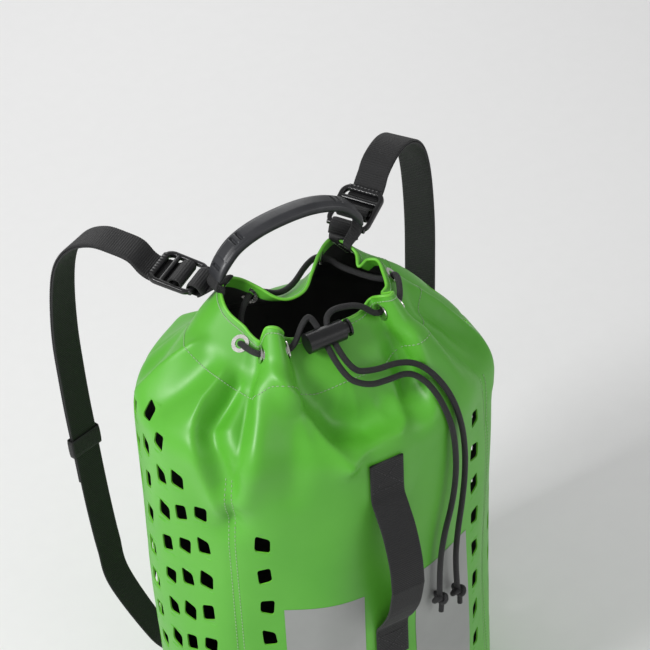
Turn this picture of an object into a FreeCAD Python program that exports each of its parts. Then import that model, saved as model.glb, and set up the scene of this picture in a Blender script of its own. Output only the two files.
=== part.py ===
import FreeCAD, Part
import math
import os
from FreeCAD import Vector

# Drawstring harvest rucksack of coated tarpaulin: an oval tube of four panels on a flat base,
# gathered at the mouth by a cord through eyelets, with a carry grip, a front handle and two
# shoulder straps. Millimetres, +Z up, origin at the centre of the base on the ground,
# +Y towards the wearer's back, -Y the front of the bag.

doc = FreeCAD.newDocument("HarvestBag")
sheet = doc.addObject("Spreadsheet::Sheet", "Dimensions")

DIMENSIONS = [
    ("bodyHalfWidth", 180.0),
    ("bodyHalfDepth", 134.0),
    ("tarpThickness", 1.6),
    ("baseThickness", 3.0),
    ("shoulderHeight", 474.0),
    ("shoulderTilt", 0.10),
    ("seamAngle", 38.8),
    ("bindingHeight", 18.0),
    ("bindingThickness", 2.0),
    ("skinGap", 0.1),
    ("eyeletOuterRadius", 8.6),
    ("eyeletBoreRadius", 5.0),
    ("eyeletWall", 0.7),
    ("eyeletFlange", 1.1),
    ("eyeletDrop", 15.0),
    ("cordDiameter", 6.0),
    ("cordSpacing", 8.0),
    ("arcShare", 0.45),
    ("knotRadius", 6.5),
    ("lockRadius", 10.0),
    ("lockLength", 38.0),
    ("lockBore", 6.6),
    ("lockFloor", 2.5),
    ("plungerRadius", 6.3),
    ("plungerLength", 34.0),
    ("plungerSlot", 21.0),
    ("capLength", 8.0),
    ("capRadius", 8.4),
    ("cordHole", 7.4),
    ("springRadius", 4.6),
    ("springWire", 1.0),
    ("gripWidth", 22.0),
    ("gripThickness", 10.0),
    ("gripCoreWidth", 16.0),
    ("gripCoreThickness", 2.4),
    ("webWidth", 34.0),
    ("webThickness", 2.0),
    ("frontWebWidth", 35.0),
    ("frontPatchWidth", 40.0),
    ("frontPatchThickness", 3.0),
    ("frontPatchHeight", 46.0),
    ("frontHandleTop", 458.0),
    ("frontHandleBottom", 196.0),
    ("buckleWidth", 46.0),
    ("buckleLength", 48.0),
    ("buckleThickness", 6.0),
    ("buckleCorner", 9.0),
    ("buckleWindowWidth", 36.0),
    ("buckleWindowLength", 12.0),
    ("buckleWindowStart", 4.5),
    ("buckleMouth", 14.0),
    ("buckleBarRadius", 3.0),
    ("keeperHeight", 22.0),
    ("keeperWall", 1.6),
    ("keeperRoom", 0.6),
    ("anchorPatchWidth", 58.0),
    ("anchorPatchHeight", 56.0),
    ("anchorPatchThickness", 3.0),
    ("labelBottom", 70.0),
    ("labelTop", 292.0),
    ("labelHalfAngle", 35.0),
    ("labelThickness", 0.5),
]
for row, (alias, value) in enumerate(DIMENSIONS, start=1):
    sheet.set("A%d" % row, alias)
    sheet.set("B%d" % row, str(value))
    sheet.setAlias("B%d" % row, alias)
doc.recompute()


def size(alias):
    return float(sheet.get(alias))


half_width = size("bodyHalfWidth")
half_depth = size("bodyHalfDepth")
tarp = size("tarpThickness")
web_thickness = size("webThickness")
cord_radius = size("cordDiameter") / 2
UP = Vector(0, 0, 1)
parts = []


def keep(obj, label):
    """Name a finished sub-part: its label is also its file's name."""
    obj.Label = label
    parts.append(obj)
    return obj


def bind(obj, **expressions):
    """Bind properties of an object to spreadsheet cells."""
    for name, expression in expressions.items():
        obj.setExpression(name, expression)
    return obj


def shape_part(label, shape, placement=None):
    """A sub-part whose curved shape is made by Part's own functions."""
    obj = doc.addObject("Part::Feature", label)
    obj.Shape = shape
    if placement is not None:
        obj.Placement = placement
    return keep(obj, label)


def unit(vector):
    return Vector(vector) / vector.Length


def frame_placement(origin, along, normal):
    """A placement whose local X runs along, and whose local Z is the normal."""
    x_axis = unit(along)
    y_axis = unit(normal.cross(x_axis))
    z_axis = x_axis.cross(y_axis)
    return FreeCAD.Placement(origin, FreeCAD.Rotation(x_axis, y_axis, z_axis, "ZXY"))


def spline(points, parameters=None):
    curve = Part.BSplineCurve()
    if parameters is None:
        curve.interpolate(Points=points)
    else:
        curve.interpolate(Points=points, Parameters=parameters)
    return curve.toShape()


def solid_of(faces):
    shell = Part.makeShell(faces)
    shell.sewShape()
    solid = Part.Solid(Part.Shell(shell.Faces))
    if solid.Volume < 0:
        solid.reverse()
    return solid


# ---------------------------------------------------------------- the bag's panels

# The gathered rim as it stands, pulled nearly shut: each point is the angle on the body's
# oval that its piece of cloth comes from, then x, y and z. Two narrow pleats stand at the
# front, and the back dips between its two corners.
SEAM = size("seamAngle")
RIM = [
    (SEAM - 180, -73, -19, 562), (-133, -70, -31, 560), (-128, -70, -37, 571),
    (-123, -67, -41, 582), (-118, -59, -47, 583), (-113, -52, -45, 573),
    (-109, -49, -37, 560), (-103, -38, -42, 557), (-90, -8, -46, 560), (-78, 28, -43, 558), (-70, 46, -34, 561),
    (-66, 48, -45, 570), (-60, 56, -52, 573), (-54, 64, -46, 570), (-49, 61, -32, 560),
    (-SEAM, 70, -24, 560), (-30, 76, -8, 562), (-16, 79, 8, 565), (-6, 72, 16, 563),
    (4, 62, 14, 561), (14, 66, 25, 568), (24, 62, 38, 573), (SEAM, 52, 49, 575),
    (56, 34, 40, 572), (72, 16, 23, 567), (90, 0, 9, 562), (104, -16, 8, 560),
    (118, -28, 15, 563), (130, -37, 28, 569), (180 - SEAM, -50, 40, 577),
    (152, -63, 43, 581), (163, -74, 33, 579), (176, -79, 20, 575), (188, -79, 8, 570),
    (205, -74, -10, 565),
]
rim_angles = [row[0] for row in RIM]
rim_points = [Vector(*row[1:]) for row in RIM]


def oval(angle, height, inset=0.0):
    turn = math.radians(angle)
    x = (half_width - inset) * math.cos(turn)
    y = (half_depth - inset) * math.sin(turn)
    return Vector(x, y, height)


def shoulder(angle, inset=0.0):
    """The shoulder fold, higher on the left where the cloth isn't pulled forward."""
    point = oval(angle, 0, inset)
    outer_x = half_width * math.cos(math.radians(angle))
    point.z = size("shoulderHeight") - size("shoulderTilt") * outer_x
    return point


def rim_normal(index):
    """Level direction from the rim towards the inside of the bag."""
    after = rim_points[(index + 1) % len(RIM)]
    before = rim_points[index - 1]
    along = after - before
    return unit(Vector(-along.y, along.x, 0))


rim_inner = [point + rim_normal(i) * tarp for i, point in enumerate(rim_points)]


def between(first, second):
    """The ruled face between two edges that run the same way."""
    return Part.makeLoft([Part.Wire([first]), Part.Wire([second])], False, True).Faces[0]


def panel(first, last):
    """One tarpaulin panel, from the base up over the shoulder to the rim."""
    index = [i % len(RIM) for i in range(first, last + 1)]
    angles = [rim_angles[i] for i in index]
    if last >= len(RIM):
        angles[-1] += 360
    marks = [0.0]
    for a, b in zip(index[:-1], index[1:]):
        marks.append(marks[-1] + (rim_points[b] - rim_points[a]).Length)
    bottom = size("baseThickness")
    rows = [
        [oval(a, bottom) for a in angles],
        [shoulder(a) for a in angles],
        [rim_points[i] for i in index],
        [rim_inner[i] for i in index],
        [shoulder(a, tarp) for a in angles],
        [oval(a, bottom, tarp) for a in angles],
    ]
    edges = [spline(row, marks) for row in rows]
    faces = [between(a, b) for a, b in zip(edges, edges[1:] + edges[:1])]
    for end in (0, -1):
        base_out, fold_out, rim_out, rim_in, fold_in, base_in = [row[end] for row in rows]
        fold = Part.makeLine(fold_out, fold_in)
        faces.append(Part.makeRuledSurface(Part.makeLine(base_out, base_in), fold))
        faces.append(Part.makeRuledSurface(fold, Part.makeLine(rim_out, rim_in)))
    return solid_of(faces)


def collar_place(angle, drop):
    """A point on the gathered collar below the rim, and the outward normal there."""
    spots = rim_angles + [rim_angles[0] + 360]
    index = max(i for i in range(len(RIM)) if spots[i] <= angle)
    share = (angle - spots[index]) / (spots[index + 1] - spots[index])
    low = rim_points[index]
    high = rim_points[(index + 1) % len(RIM)]
    top = low + (high - low) * share
    fall = shoulder(angle) - top
    point = top + fall * (drop / fall.Length)
    normal = unit(fall.cross(high - low))
    return point, normal


PANELS = [("front_panel", 0, 15), ("side_panel_right", 15, 22),
          ("back_panel", 22, 29), ("side_panel_left", 29, 35)]
panel_shapes = {name: panel(first, last) for name, first, last in PANELS}

# Eyelets in the order the cord threads them, starting left of the lock: the angle of the
# cloth each sits in, and its panel.
EYELETS = [(-111.2, "front_panel"), (-130.0, "front_panel"), (209.6, "side_panel_left"),
           (128.0, "back_panel"), (58.0, "back_panel"), (-24.0, "side_panel_right"),
           (-51.0, "front_panel"), (-68.5, "front_panel")]
eyelet_places = [collar_place(angle, size("eyeletDrop")) for angle, name in EYELETS]
barrel_radius = size("eyeletBoreRadius") + size("eyeletWall")
PUNCH_DEPTH = 5.0
for (angle, name), (point, normal) in zip(EYELETS, eyelet_places):
    start = point - normal * PUNCH_DEPTH
    punch = Part.makeCylinder(barrel_radius, 2 * PUNCH_DEPTH, start, normal)
    panel_shapes[name] = panel_shapes[name].cut(punch)
for name, first, last in PANELS:
    shape_part(name, panel_shapes[name])


def make_eyelet(label, point, normal):
    """A flanged metal eyelet, revolved round its bore."""
    body = doc.addObject("PartDesign::Body", label)
    sketch = body.newObject("Sketcher::SketchObject", label + "_profile")
    planes = body.Origin.OriginFeatures
    plane = [item for item in planes if item.Role == "XZ_Plane"][0]
    sketch.AttachmentSupport = (plane, "")
    sketch.MapMode = "FlatFace"
    bore = size("eyeletBoreRadius")
    outer = size("eyeletOuterRadius")
    middle = tarp / 2
    top = middle + size("eyeletFlange")
    profile = [(bore, -top), (outer, -top), (outer, -middle), (barrel_radius, -middle),
               (barrel_radius, middle), (outer, middle), (outer, top), (bore, top)]
    corners = [Vector(x, y, 0) for x, y in profile]
    for a, b in zip(corners, corners[1:] + corners[:1]):
        sketch.addGeometry(Part.LineSegment(a, b), False)
    turned = body.newObject("PartDesign::Revolution", label + "_turn")
    turned.Profile = sketch
    turned.ReferenceAxis = (sketch, ["V_Axis"])
    turned.Angle = 360
    sketch.Visibility = False
    body.Placement = FreeCAD.Placement(point - normal * middle, FreeCAD.Rotation(UP, normal))
    return keep(body, label)


for number, (point, normal) in enumerate(eyelet_places, start=1):
    make_eyelet("eyelet_%d" % number, point, normal)

# ---------------------------------------------------------------- base


def oval_prism(name, major, minor, height):
    """An upright oval plate, bound to the sheet."""
    ring = doc.addObject("Part::Ellipse", name + "_outline")
    bind(ring, MajorRadius=major, MinorRadius=minor)
    plate = doc.addObject("Part::Extrusion", name + "_plate")
    plate.Base = ring
    plate.Dir = UP
    plate.Solid = True
    bind(plate, LengthFwd=height)
    return plate


base = oval_prism("base", "Dimensions.bodyHalfWidth", "Dimensions.bodyHalfDepth",
                  "Dimensions.baseThickness")
keep(base, "base_disc")

outer_size = "Dimensions.%s + Dimensions.skinGap + Dimensions.bindingThickness"
inner_size = "Dimensions.%s + Dimensions.skinGap"
binding_outer = oval_prism("binding_outer", outer_size % "bodyHalfWidth",
                           outer_size % "bodyHalfDepth", "Dimensions.bindingHeight")
binding_inner = oval_prism("binding_inner", inner_size % "bodyHalfWidth",
                           inner_size % "bodyHalfDepth", "Dimensions.bindingHeight")
binding = doc.addObject("Part::Cut", "binding")
binding.Base = binding_outer
binding.Tool = binding_inner
keep(binding, "base_binding")

# ---------------------------------------------------------------- printed front panel


def wall_plate(start_angle, end_angle, low, high, thickness):
    """A thin skin on the outside of the body's oval wall."""
    steps = 8
    angles = [start_angle + (end_angle - start_angle) * i / steps for i in range(steps + 1)]
    near = -size("skinGap")
    far = near - thickness
    corners = [(low, near), (low, far), (high, far), (high, near)]
    edges = [spline([oval(a, z, inset) for a in angles], angles) for z, inset in corners]
    faces = [Part.makeRuledSurface(a, b) for a, b in zip(edges, edges[1:] + edges[:1])]
    for angle in (start_angle, end_angle):
        loop = [oval(angle, z, inset) for z, inset in corners]
        faces.append(Part.Face(Part.makePolygon(loop + loop[:1])))
    return solid_of(faces)


label_half = size("labelHalfAngle")
LABEL_GAP = 9.0
for side, sign in (("left", -1), ("right", 1)):
    edges = sorted([-90 + sign * LABEL_GAP, -90 + sign * label_half])
    plate = wall_plate(edges[0], edges[1], size("labelBottom"), size("labelTop"),
                       size("labelThickness"))
    shape_part("front_print_" + side, plate)

# ---------------------------------------------------------------- webbing ribbons


def ribbon(points, width_directions, width, thickness):
    """A flat band along a smooth line, its width held along the given directions."""
    count = len(points)
    lines = [[], [], [], []]
    for i, point in enumerate(points):
        along = points[min(i + 1, count - 1)] - points[max(i - 1, 0)]
        across = unit(width_directions[i])
        out = unit(along.cross(across))
        for line, (side, face) in zip(lines, ((-1, -1), (1, -1), (1, 1), (-1, 1))):
            line.append(point + across * (side * width / 2) + out * (face * thickness / 2))
    marks = [0.0]
    for a, b in zip(points[:-1], points[1:]):
        marks.append(marks[-1] + (b - a).Length)
    edges = [spline(line, marks) for line in lines]
    faces = [Part.makeRuledSurface(a, b) for a, b in zip(edges, edges[1:] + edges[:1])]
    for end in (0, -1):
        loop = [line[end] for line in lines]
        faces.append(Part.Face(Part.makePolygon(loop + loop[:1])))
    return solid_of(faces)


# ---------------------------------------------------------------- carry handle

HANDLE_PATH = [Vector(-81, 36, 583), Vector(-77, 38, 591), Vector(-67, 40, 604),
               Vector(-52, 42, 616), Vector(-30, 43, 624), Vector(-4, 44, 627),
               Vector(23, 44, 627), Vector(46, 44, 622), Vector(63, 44, 613),
               Vector(75, 44, 599), Vector(79, 44, 588), Vector(77, 43, 579)]
handle_line = HANDLE_PATH[-1] - HANDLE_PATH[0]
handle_across = unit(Vector(-handle_line.y, handle_line.x, 0))
across_list = [handle_across] * len(HANDLE_PATH)
core = ribbon(HANDLE_PATH, across_list, size("gripCoreWidth"), size("gripCoreThickness"))
shape_part("handle_webbing", core)
grip_across = across_list[1:-1]
grip = ribbon(HANDLE_PATH[1:-1], grip_across, size("gripWidth"), size("gripThickness"))
shape_part("handle_grip", grip.cut(core))

# ---------------------------------------------------------------- front handle

patch_thickness = size("frontPatchThickness")
patch_height = size("frontPatchHeight")
for label, low in (("front_handle_patch_top", "Dimensions.frontHandleTop"
                    " - Dimensions.frontPatchHeight"),
                   ("front_handle_patch_bottom", "Dimensions.frontHandleBottom")):
    patch = doc.addObject("Part::Box", label)
    bind(patch, Length="Dimensions.frontPatchWidth",
         Width="Dimensions.frontPatchThickness", Height="Dimensions.frontPatchHeight")
    bind(patch, **{"Placement.Base.x": "-Dimensions.frontPatchWidth / 2",
                   "Placement.Base.y": "-Dimensions.bodyHalfDepth - Dimensions.skinGap"
                                       " - Dimensions.frontPatchThickness",
                   "Placement.Base.z": low})
    keep(patch, label)

WEB_END_GAP = 1.0
WEB_STANDOFF = 7.2
FRONT_BULGE = [(0.0, 0.0), (0.06, 4.5), (0.18, 15.0), (0.36, 25.0), (0.54, 28.0),
               (0.74, 20.0), (0.90, 7.0), (1.0, 0.0)]
web_top = size("frontHandleTop") - patch_height - WEB_END_GAP
web_bottom = size("frontHandleBottom") + patch_height + WEB_END_GAP
front_path = []
for share, bulge in FRONT_BULGE:
    height = web_top + (web_bottom - web_top) * share
    front_path.append(Vector(0, -half_depth - WEB_STANDOFF - bulge, height))
front_web = ribbon(front_path, [Vector(1, 0, 0)] * len(front_path),
                   size("frontWebWidth"), web_thickness)
shape_part("front_handle_web", front_web)

# ---------------------------------------------------------------- shoulder straps

# Each strap lies in an upright plane turned a little outwards. Distance along that plane
# from the ladder lock, height relative to the lock for the left strap and the right one,
# how far the point has moved over to its lower anchor, and how far the band has twisted
# from the lock's direction to the hanging one.
STRAP_PATH = [(27, 7, 14, 0.0, 0.0), (45, 12, 23, 0.0, 0.0), (63, 16, 29, 0.0, 0.1),
              (82, 17, 28, 0.0, 0.2), (101, 9, 18, 0.0, 0.35), (116, -7, 0, 0.0, 0.5),
              (126, -31, -26, 0.0, 0.65), (132, -69, -62, 0.0, 0.8),
              (135, -119, -110, 0.0, 1.0), (134, -168, -160, 0.0, 1.0),
              (132, -214, -206, 0.0, 1.0), (129, -258, -254, 0.0, 1.0),
              (126, -304, -302, 0.0, 1.0), (122, -350, -350, 0.03, 1.0),
              (116, -394, -396, 0.12, 1.0), (106, -432, -434, 0.34, 1.0),
              (93, -464, -468, 0.66, 1.0), (78, -490, -496, 1.0, 1.0)]
TAIL_LAST = 12
LOWER_X = 155.0
LOWER_Y = 124.0
LOWER_Z = 72.0
STRAPS = {
    "left": {"side": -1, "lock": Vector(-99, 69, 585), "turn": 35.0, "hang": 17.0,
             "tilt": 8.0, "height": 1},
    "right": {"side": 1, "lock": Vector(92, 70, 580), "turn": 58.0, "hang": 48.0,
              "tilt": 20.0, "height": 2},
}
KEEPER_INDEX = 11
STUB_GAP = 3.5
CORNER_ANGLES = {"left": 158.0, "right": 31.0}
BAR_BACK = 21.0
ANCHOR_TURN = 36.0


def strap_frames(side_name):
    """Centre points and width directions of one shoulder strap."""
    data = STRAPS[side_name]
    side = data["side"]
    turn = math.radians(data["turn"])
    out = Vector(side * math.sin(turn), math.cos(turn), 0)
    plane_end = data["lock"] + out * STRAP_PATH[-1][0]
    lower = Vector(side * LOWER_X, LOWER_Y, LOWER_Z)
    last_z = STRAP_PATH[-1][data["height"]]
    drift = lower - Vector(plane_end.x, plane_end.y, data["lock"].z + last_z)
    centres = []
    widths = []
    for row in STRAP_PATH:
        distance, z, blend, twist = row[0], row[data["height"]], row[3], row[4]
        centres.append(data["lock"] + out * distance + UP * z + drift * blend)
        hanging = data["turn"] * (1 - twist) + data["hang"] * twist
        angle = math.radians(hanging * (1 - blend) + ANCHOR_TURN * blend)
        widths.append(Vector(math.cos(angle), -side * math.sin(angle), 0))
    return centres, widths, out


def offset_path(points, widths, distance, side):
    """The same path moved off the band's outer face."""
    moved = []
    for i, point in enumerate(points):
        along = points[min(i + 1, len(points) - 1)] - points[max(i - 1, 0)]
        out = unit(along.cross(widths[i]))
        moved.append(point + out * (distance * side))
    return moved


def local_path(placement, pairs):
    """Points given as length and height in a ladder lock's own frame."""
    return [placement.multVec(Vector(x, 0, z)) for x, z in pairs]


def belt_face(near, near_radius, far, far_radius, side):
    """The outline of a belt round two circles, in an upright plane at local Y = side."""
    start = Vector(near[0], side, near[1])
    reach = Vector(far[0], side, far[1]) - start
    line = math.atan2(reach.z, reach.x)
    spread = math.acos((near_radius - far_radius) / reach.Length)

    def at(centre, radius, angle):
        return centre + Vector(math.cos(angle), 0, math.sin(angle)) * radius

    end = start + reach
    upper_near = at(start, near_radius, line + spread)
    lower_near = at(start, near_radius, line - spread)
    upper_far = at(end, far_radius, line + spread)
    lower_far = at(end, far_radius, line - spread)
    edges = [Part.makeLine(upper_near, upper_far),
             Part.Arc(upper_far, at(end, far_radius, line), lower_far).toShape(),
             Part.makeLine(lower_far, lower_near),
             Part.Arc(lower_near, at(start, near_radius, line + math.pi),
                      upper_near).toShape()]
    return Part.Face(Part.Wire(edges))


def tab_loop(width):
    """The sewn webbing loop round a ladder lock's bar, in the lock's own frame."""
    inner_radius = size("buckleBarRadius") + TAB_CLEARANCE
    bar = (-BAR_BACK, 0)
    side = -width / 2
    outer = belt_face(bar, inner_radius + TAB_WEB, TAB_TAIL, TAB_TAIL_RADIUS, side)
    stop = (TAB_TAIL[0] + 4, TAB_TAIL[1] + 0.6)
    inner = belt_face(bar, inner_radius, stop, TAB_TAIL_RADIUS / 6, side)
    return outer.cut(inner).extrude(Vector(0, width, 0))


def make_buckle(label, placement):
    """A ladder lock: a rounded plate with two windows and a round bar for the sewn tab."""
    plate = doc.addObject("Part::Box", label + "_plate")
    bind(plate, Length="Dimensions.buckleLength", Width="Dimensions.buckleWidth",
         Height="Dimensions.buckleThickness")
    bind(plate, **{"Placement.Base.x": "-Dimensions.buckleLength / 2",
                   "Placement.Base.y": "-Dimensions.buckleWidth / 2",
                   "Placement.Base.z": "-Dimensions.buckleThickness / 2"})
    doc.recompute()
    rounded = doc.addObject("Part::Fillet", label + "_rounded")
    rounded.Base = plate
    upright = []
    for number, edge in enumerate(plate.Shape.Edges, start=1):
        ends = [vertex.Point for vertex in edge.Vertexes]
        if abs(ends[0].z - ends[1].z) > size("buckleThickness") / 2:
            upright.append((number, size("buckleCorner"), size("buckleCorner")))
    rounded.Edges = upright
    solid = rounded
    windows = [("near", "-Dimensions.buckleWindowLength - Dimensions.buckleWindowStart"),
               ("far", "Dimensions.buckleWindowStart")]
    for end, start in windows:
        window = doc.addObject("Part::Box", label + "_window_" + end)
        bind(window, Length="Dimensions.buckleWindowLength",
             Width="Dimensions.buckleWindowWidth", Height="2 * Dimensions.buckleThickness")
        bind(window, **{"Placement.Base.x": start,
                        "Placement.Base.y": "-Dimensions.buckleWindowWidth / 2",
                        "Placement.Base.z": "-Dimensions.buckleThickness"})
        cut = doc.addObject("Part::Cut", label + "_cut_" + end)
        cut.Base = solid
        cut.Tool = window
        solid = cut
    notch = doc.addObject("Part::Box", label + "_notch")
    bind(notch, Length="Dimensions.buckleLength / 2",
         Width="Dimensions.buckleWindowWidth", Height="2 * Dimensions.buckleThickness")
    bind(notch, **{"Placement.Base.x": "-Dimensions.buckleLength / 2 - Dimensions.buckleMouth",
                   "Placement.Base.y": "-Dimensions.buckleWindowWidth / 2",
                   "Placement.Base.z": "-Dimensions.buckleThickness"})
    opened = doc.addObject("Part::Cut", label + "_opened")
    opened.Base = solid
    opened.Tool = notch
    bar = doc.addObject("Part::Cylinder", label + "_bar")
    bind(bar, Radius="Dimensions.buckleBarRadius", Height="Dimensions.buckleWindowWidth + 2")
    bar.Placement = FreeCAD.Placement(Vector(-BAR_BACK, size("buckleWindowWidth") / 2 + 1, 0),
                                      FreeCAD.Rotation(Vector(1, 0, 0), 90))
    whole = doc.addObject("Part::Fuse", label + "_whole")
    whole.Base = opened
    whole.Tool = bar
    whole.Placement = placement
    return keep(whole, label)


TAIL_LIFT = web_thickness + 0.4
TAB_WIDTH = size("buckleWindowWidth") - 4
TAB_TAIL = (-33.0, -2.0)
TAB_TAIL_RADIUS = 1.7
TAB_CLEARANCE = 0.9
TAB_WEB = 1.5
THREADED = [(25.5, 5.0), (14, 5.4), (0, 5.6), (-5.5, 3.4), (-7.6, -1.0), (-7.9, -6.5)]
ROOT_DROPS = (42, 34, 26, 18)
SEWN_GAP = 0.4
STUB_LEAD = 9.0
STUB_SHARE = 0.62
STUB_SAG = 8.0
STUB_HEIGHTS = (46, 28)


def make_strap(side_name, centres, widths):
    """The shoulder band, and the tail of spare webbing that lies along its outer face."""
    band = ribbon(centres, widths, size("webWidth"), web_thickness)
    shape_part("strap_" + side_name, band)
    tail_centres = offset_path(centres, widths, TAIL_LIFT, STRAPS[side_name]["side"])
    last = TAIL_LAST + 1
    tail = ribbon(tail_centres[:last], widths[:last], size("webWidth"), web_thickness)
    shape_part("strap_tail_" + side_name, tail)


def make_lock_end(side_name, out):
    """The ladder lock, the webbing threaded through it and the sewn tab round its bar."""
    data = STRAPS[side_name]
    across = Vector(out.y, -out.x, 0)
    tilt = math.radians(data["tilt"])
    along = out * math.cos(tilt) + UP * math.sin(tilt)
    place = frame_placement(data["lock"], along, unit(across.cross(along)))
    make_buckle("buckle_" + side_name, place)
    shape_part("buckle_tab_" + side_name, tab_loop(TAB_WIDTH), place)
    threaded = ribbon(local_path(place, THREADED), [across] * len(THREADED),
                      TAB_WIDTH, web_thickness * 0.75)
    shape_part("buckle_webbing_" + side_name, threaded)


def make_keeper(side_name, centres, widths):
    """The elastic keeper round the strap and its tail."""
    slope = unit(centres[KEEPER_INDEX + 1] - centres[KEEPER_INDEX - 1])
    outwards = unit(slope.cross(widths[KEEPER_INDEX])) * STRAPS[side_name]["side"]
    middle = centres[KEEPER_INDEX] + outwards * (TAIL_LIFT / 2)
    inner_width = size("webWidth") + 2 * size("keeperRoom")
    inner_depth = web_thickness + TAIL_LIFT + 2 * size("keeperRoom")
    wall = size("keeperWall")
    high = size("keeperHeight")
    corner = Vector(-high / 2, -inner_width / 2 - wall, -inner_depth / 2 - wall)
    outer = Part.makeBox(high, inner_width + 2 * wall, inner_depth + 2 * wall, corner)
    corner = Vector(-high, -inner_width / 2, -inner_depth / 2)
    inner = Part.makeBox(2 * high, inner_width, inner_depth, corner)
    shape_part("keeper_" + side_name, outer.cut(inner),
               frame_placement(middle, slope, outwards))


def make_lower_anchor(side_name, centres, widths):
    """The sewn corner patch, and a short stub of webbing standing off it."""
    side = STRAPS[side_name]["side"]
    wall_angle = math.degrees(math.atan2(LOWER_Y / half_depth, side * LOWER_X / half_width))
    foot = oval(wall_angle, 0)
    outward = unit(Vector(foot.x / half_width ** 2, foot.y / half_depth ** 2, 0))
    tangent = Vector(-outward.y, outward.x, 0)
    place = frame_placement(foot + outward * size("skinGap"), tangent, outward)
    patch = doc.addObject("Part::Box", "anchor_patch_" + side_name)
    bind(patch, Length="Dimensions.anchorPatchWidth",
         Width="Dimensions.anchorPatchHeight - Dimensions.bindingHeight",
         Height="Dimensions.anchorPatchThickness")
    corner = Vector(-size("anchorPatchWidth") / 2, size("bindingHeight") + SEWN_GAP, 0)
    patch.Placement = place.multiply(FreeCAD.Placement(corner, FreeCAD.Rotation()))
    keep(patch, "anchor_patch_" + side_name)
    lower = centres[-1]
    inwards = unit(centres[-1] - centres[-2])
    stand_off = size("anchorPatchThickness") + web_thickness / 2 + SEWN_GAP
    root = foot + outward * stand_off
    middle = root * STUB_SHARE + lower * (1 - STUB_SHARE) - UP * STUB_SAG
    stub_path = [lower + inwards * STUB_GAP, lower + inwards * (STUB_GAP + STUB_LEAD), middle]
    stub_path += [root + UP * height for height in STUB_HEIGHTS]
    stub_widths = [widths[-1]] * 3 + [tangent * -1] * 2
    shape_part("strap_anchor_" + side_name,
               ribbon(stub_path, stub_widths, size("webWidth"), web_thickness))


def make_tab_root(side_name):
    """The tab's own sewn root, on the outside of the gathered corner."""
    spots = [collar_place(CORNER_ANGLES[side_name], drop) for drop in ROOT_DROPS]
    lift = web_thickness / 2 + SEWN_GAP
    path = [point + normal * lift for point, normal in spots]
    level = spots[1][1]
    along_rim = unit(Vector(level.y, -level.x, 0))
    shape_part("strap_tab_root_" + side_name,
               ribbon(path, [along_rim] * len(path), TAB_WIDTH, web_thickness))


for side_name in STRAPS:
    strap_centres, strap_widths, strap_out = strap_frames(side_name)
    make_strap(side_name, strap_centres, strap_widths)
    make_lock_end(side_name, strap_out)
    make_keeper(side_name, strap_centres, strap_widths)
    make_lower_anchor(side_name, strap_centres, strap_widths)
    make_tab_root(side_name)

# ---------------------------------------------------------------- cord lock

FRONT_MIDDLE = 8
LOCK_SHIFT = 2.0
CAP_OVERHANG = 6.0
CAP_SET = 1.0
SLOT_SHIFT = 0.3
SPRING_PITCH = 1.9
SPRING_TURNS = 1.2
SPRING_ROOM = 0.1
lock_centre = Vector(-16, -61, 563)
slope_down = unit(shoulder(-90) - rim_points[FRONT_MIDDLE])
slope_out = unit(Vector(1, 0, 0).cross(slope_down) * -1)
lock_place = frame_placement(lock_centre, Vector(1, 0, 0), slope_out)
lock_radius = size("lockRadius")
spacing = size("cordSpacing")
hole = size("cordHole")
lock_start = -size("lockLength") / 2 - LOCK_SHIFT
along_x = FreeCAD.Rotation(Vector(0, 1, 0), 90)


def cord_slot(length):
    """A transverse slot for two cords side by side."""
    depth = 4 * lock_radius
    return Part.makeBox(length, depth, hole, Vector(-length / 2, -depth / 2, -hole / 2))


def make_lock_body():
    """The barrel: a blind bore for the plunger, and a slot right through for the cords."""
    barrel = doc.addObject("Part::Cylinder", "lock_barrel")
    bind(barrel, Radius="Dimensions.lockRadius", Height="Dimensions.lockLength")
    barrel.Placement = FreeCAD.Placement(Vector(lock_start, 0, 0), along_x)
    bore = doc.addObject("Part::Cylinder", "lock_bore")
    bind(bore, Radius="Dimensions.lockBore", Height="Dimensions.lockLength")
    bore.Placement = FreeCAD.Placement(Vector(lock_start + size("lockFloor"), 0, 0), along_x)
    hollow = doc.addObject("Part::Cut", "lock_hollow")
    hollow.Base = barrel
    hollow.Tool = bore
    slot = doc.addObject("Part::Feature", "lock_slot")
    slot.Shape = cord_slot(spacing + hole)
    body = doc.addObject("Part::Cut", "lock_body")
    body.Base = hollow
    body.Tool = slot
    body.Placement = lock_place
    keep(body, "cord_lock_body")


def make_lock_button():
    """The plunger with its cap, slotted so that its end wall pinches the cords."""
    cap_length = size("capLength")
    end = lock_start + size("lockLength") + cap_length - LOCK_SHIFT
    plunger_start = Vector(end - size("plungerLength"), 0, 0)
    plunger = Part.makeCylinder(size("plungerRadius"), size("plungerLength"),
                                plunger_start, Vector(1, 0, 0))
    cap_start = Vector(end - cap_length + CAP_OVERHANG + CAP_SET, 0, 0)
    cap = Part.makeCylinder(size("capRadius"), cap_length - CAP_OVERHANG,
                            cap_start, Vector(1, 0, 0))
    opening = cord_slot(size("plungerSlot"))
    opening.translate(Vector((size("plungerSlot") - spacing - hole) / 2 - SLOT_SHIFT, 0, 0))
    shape_part("cord_lock_button", plunger.fuse(cap).cut(opening).removeSplitter(),
               lock_place)


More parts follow.
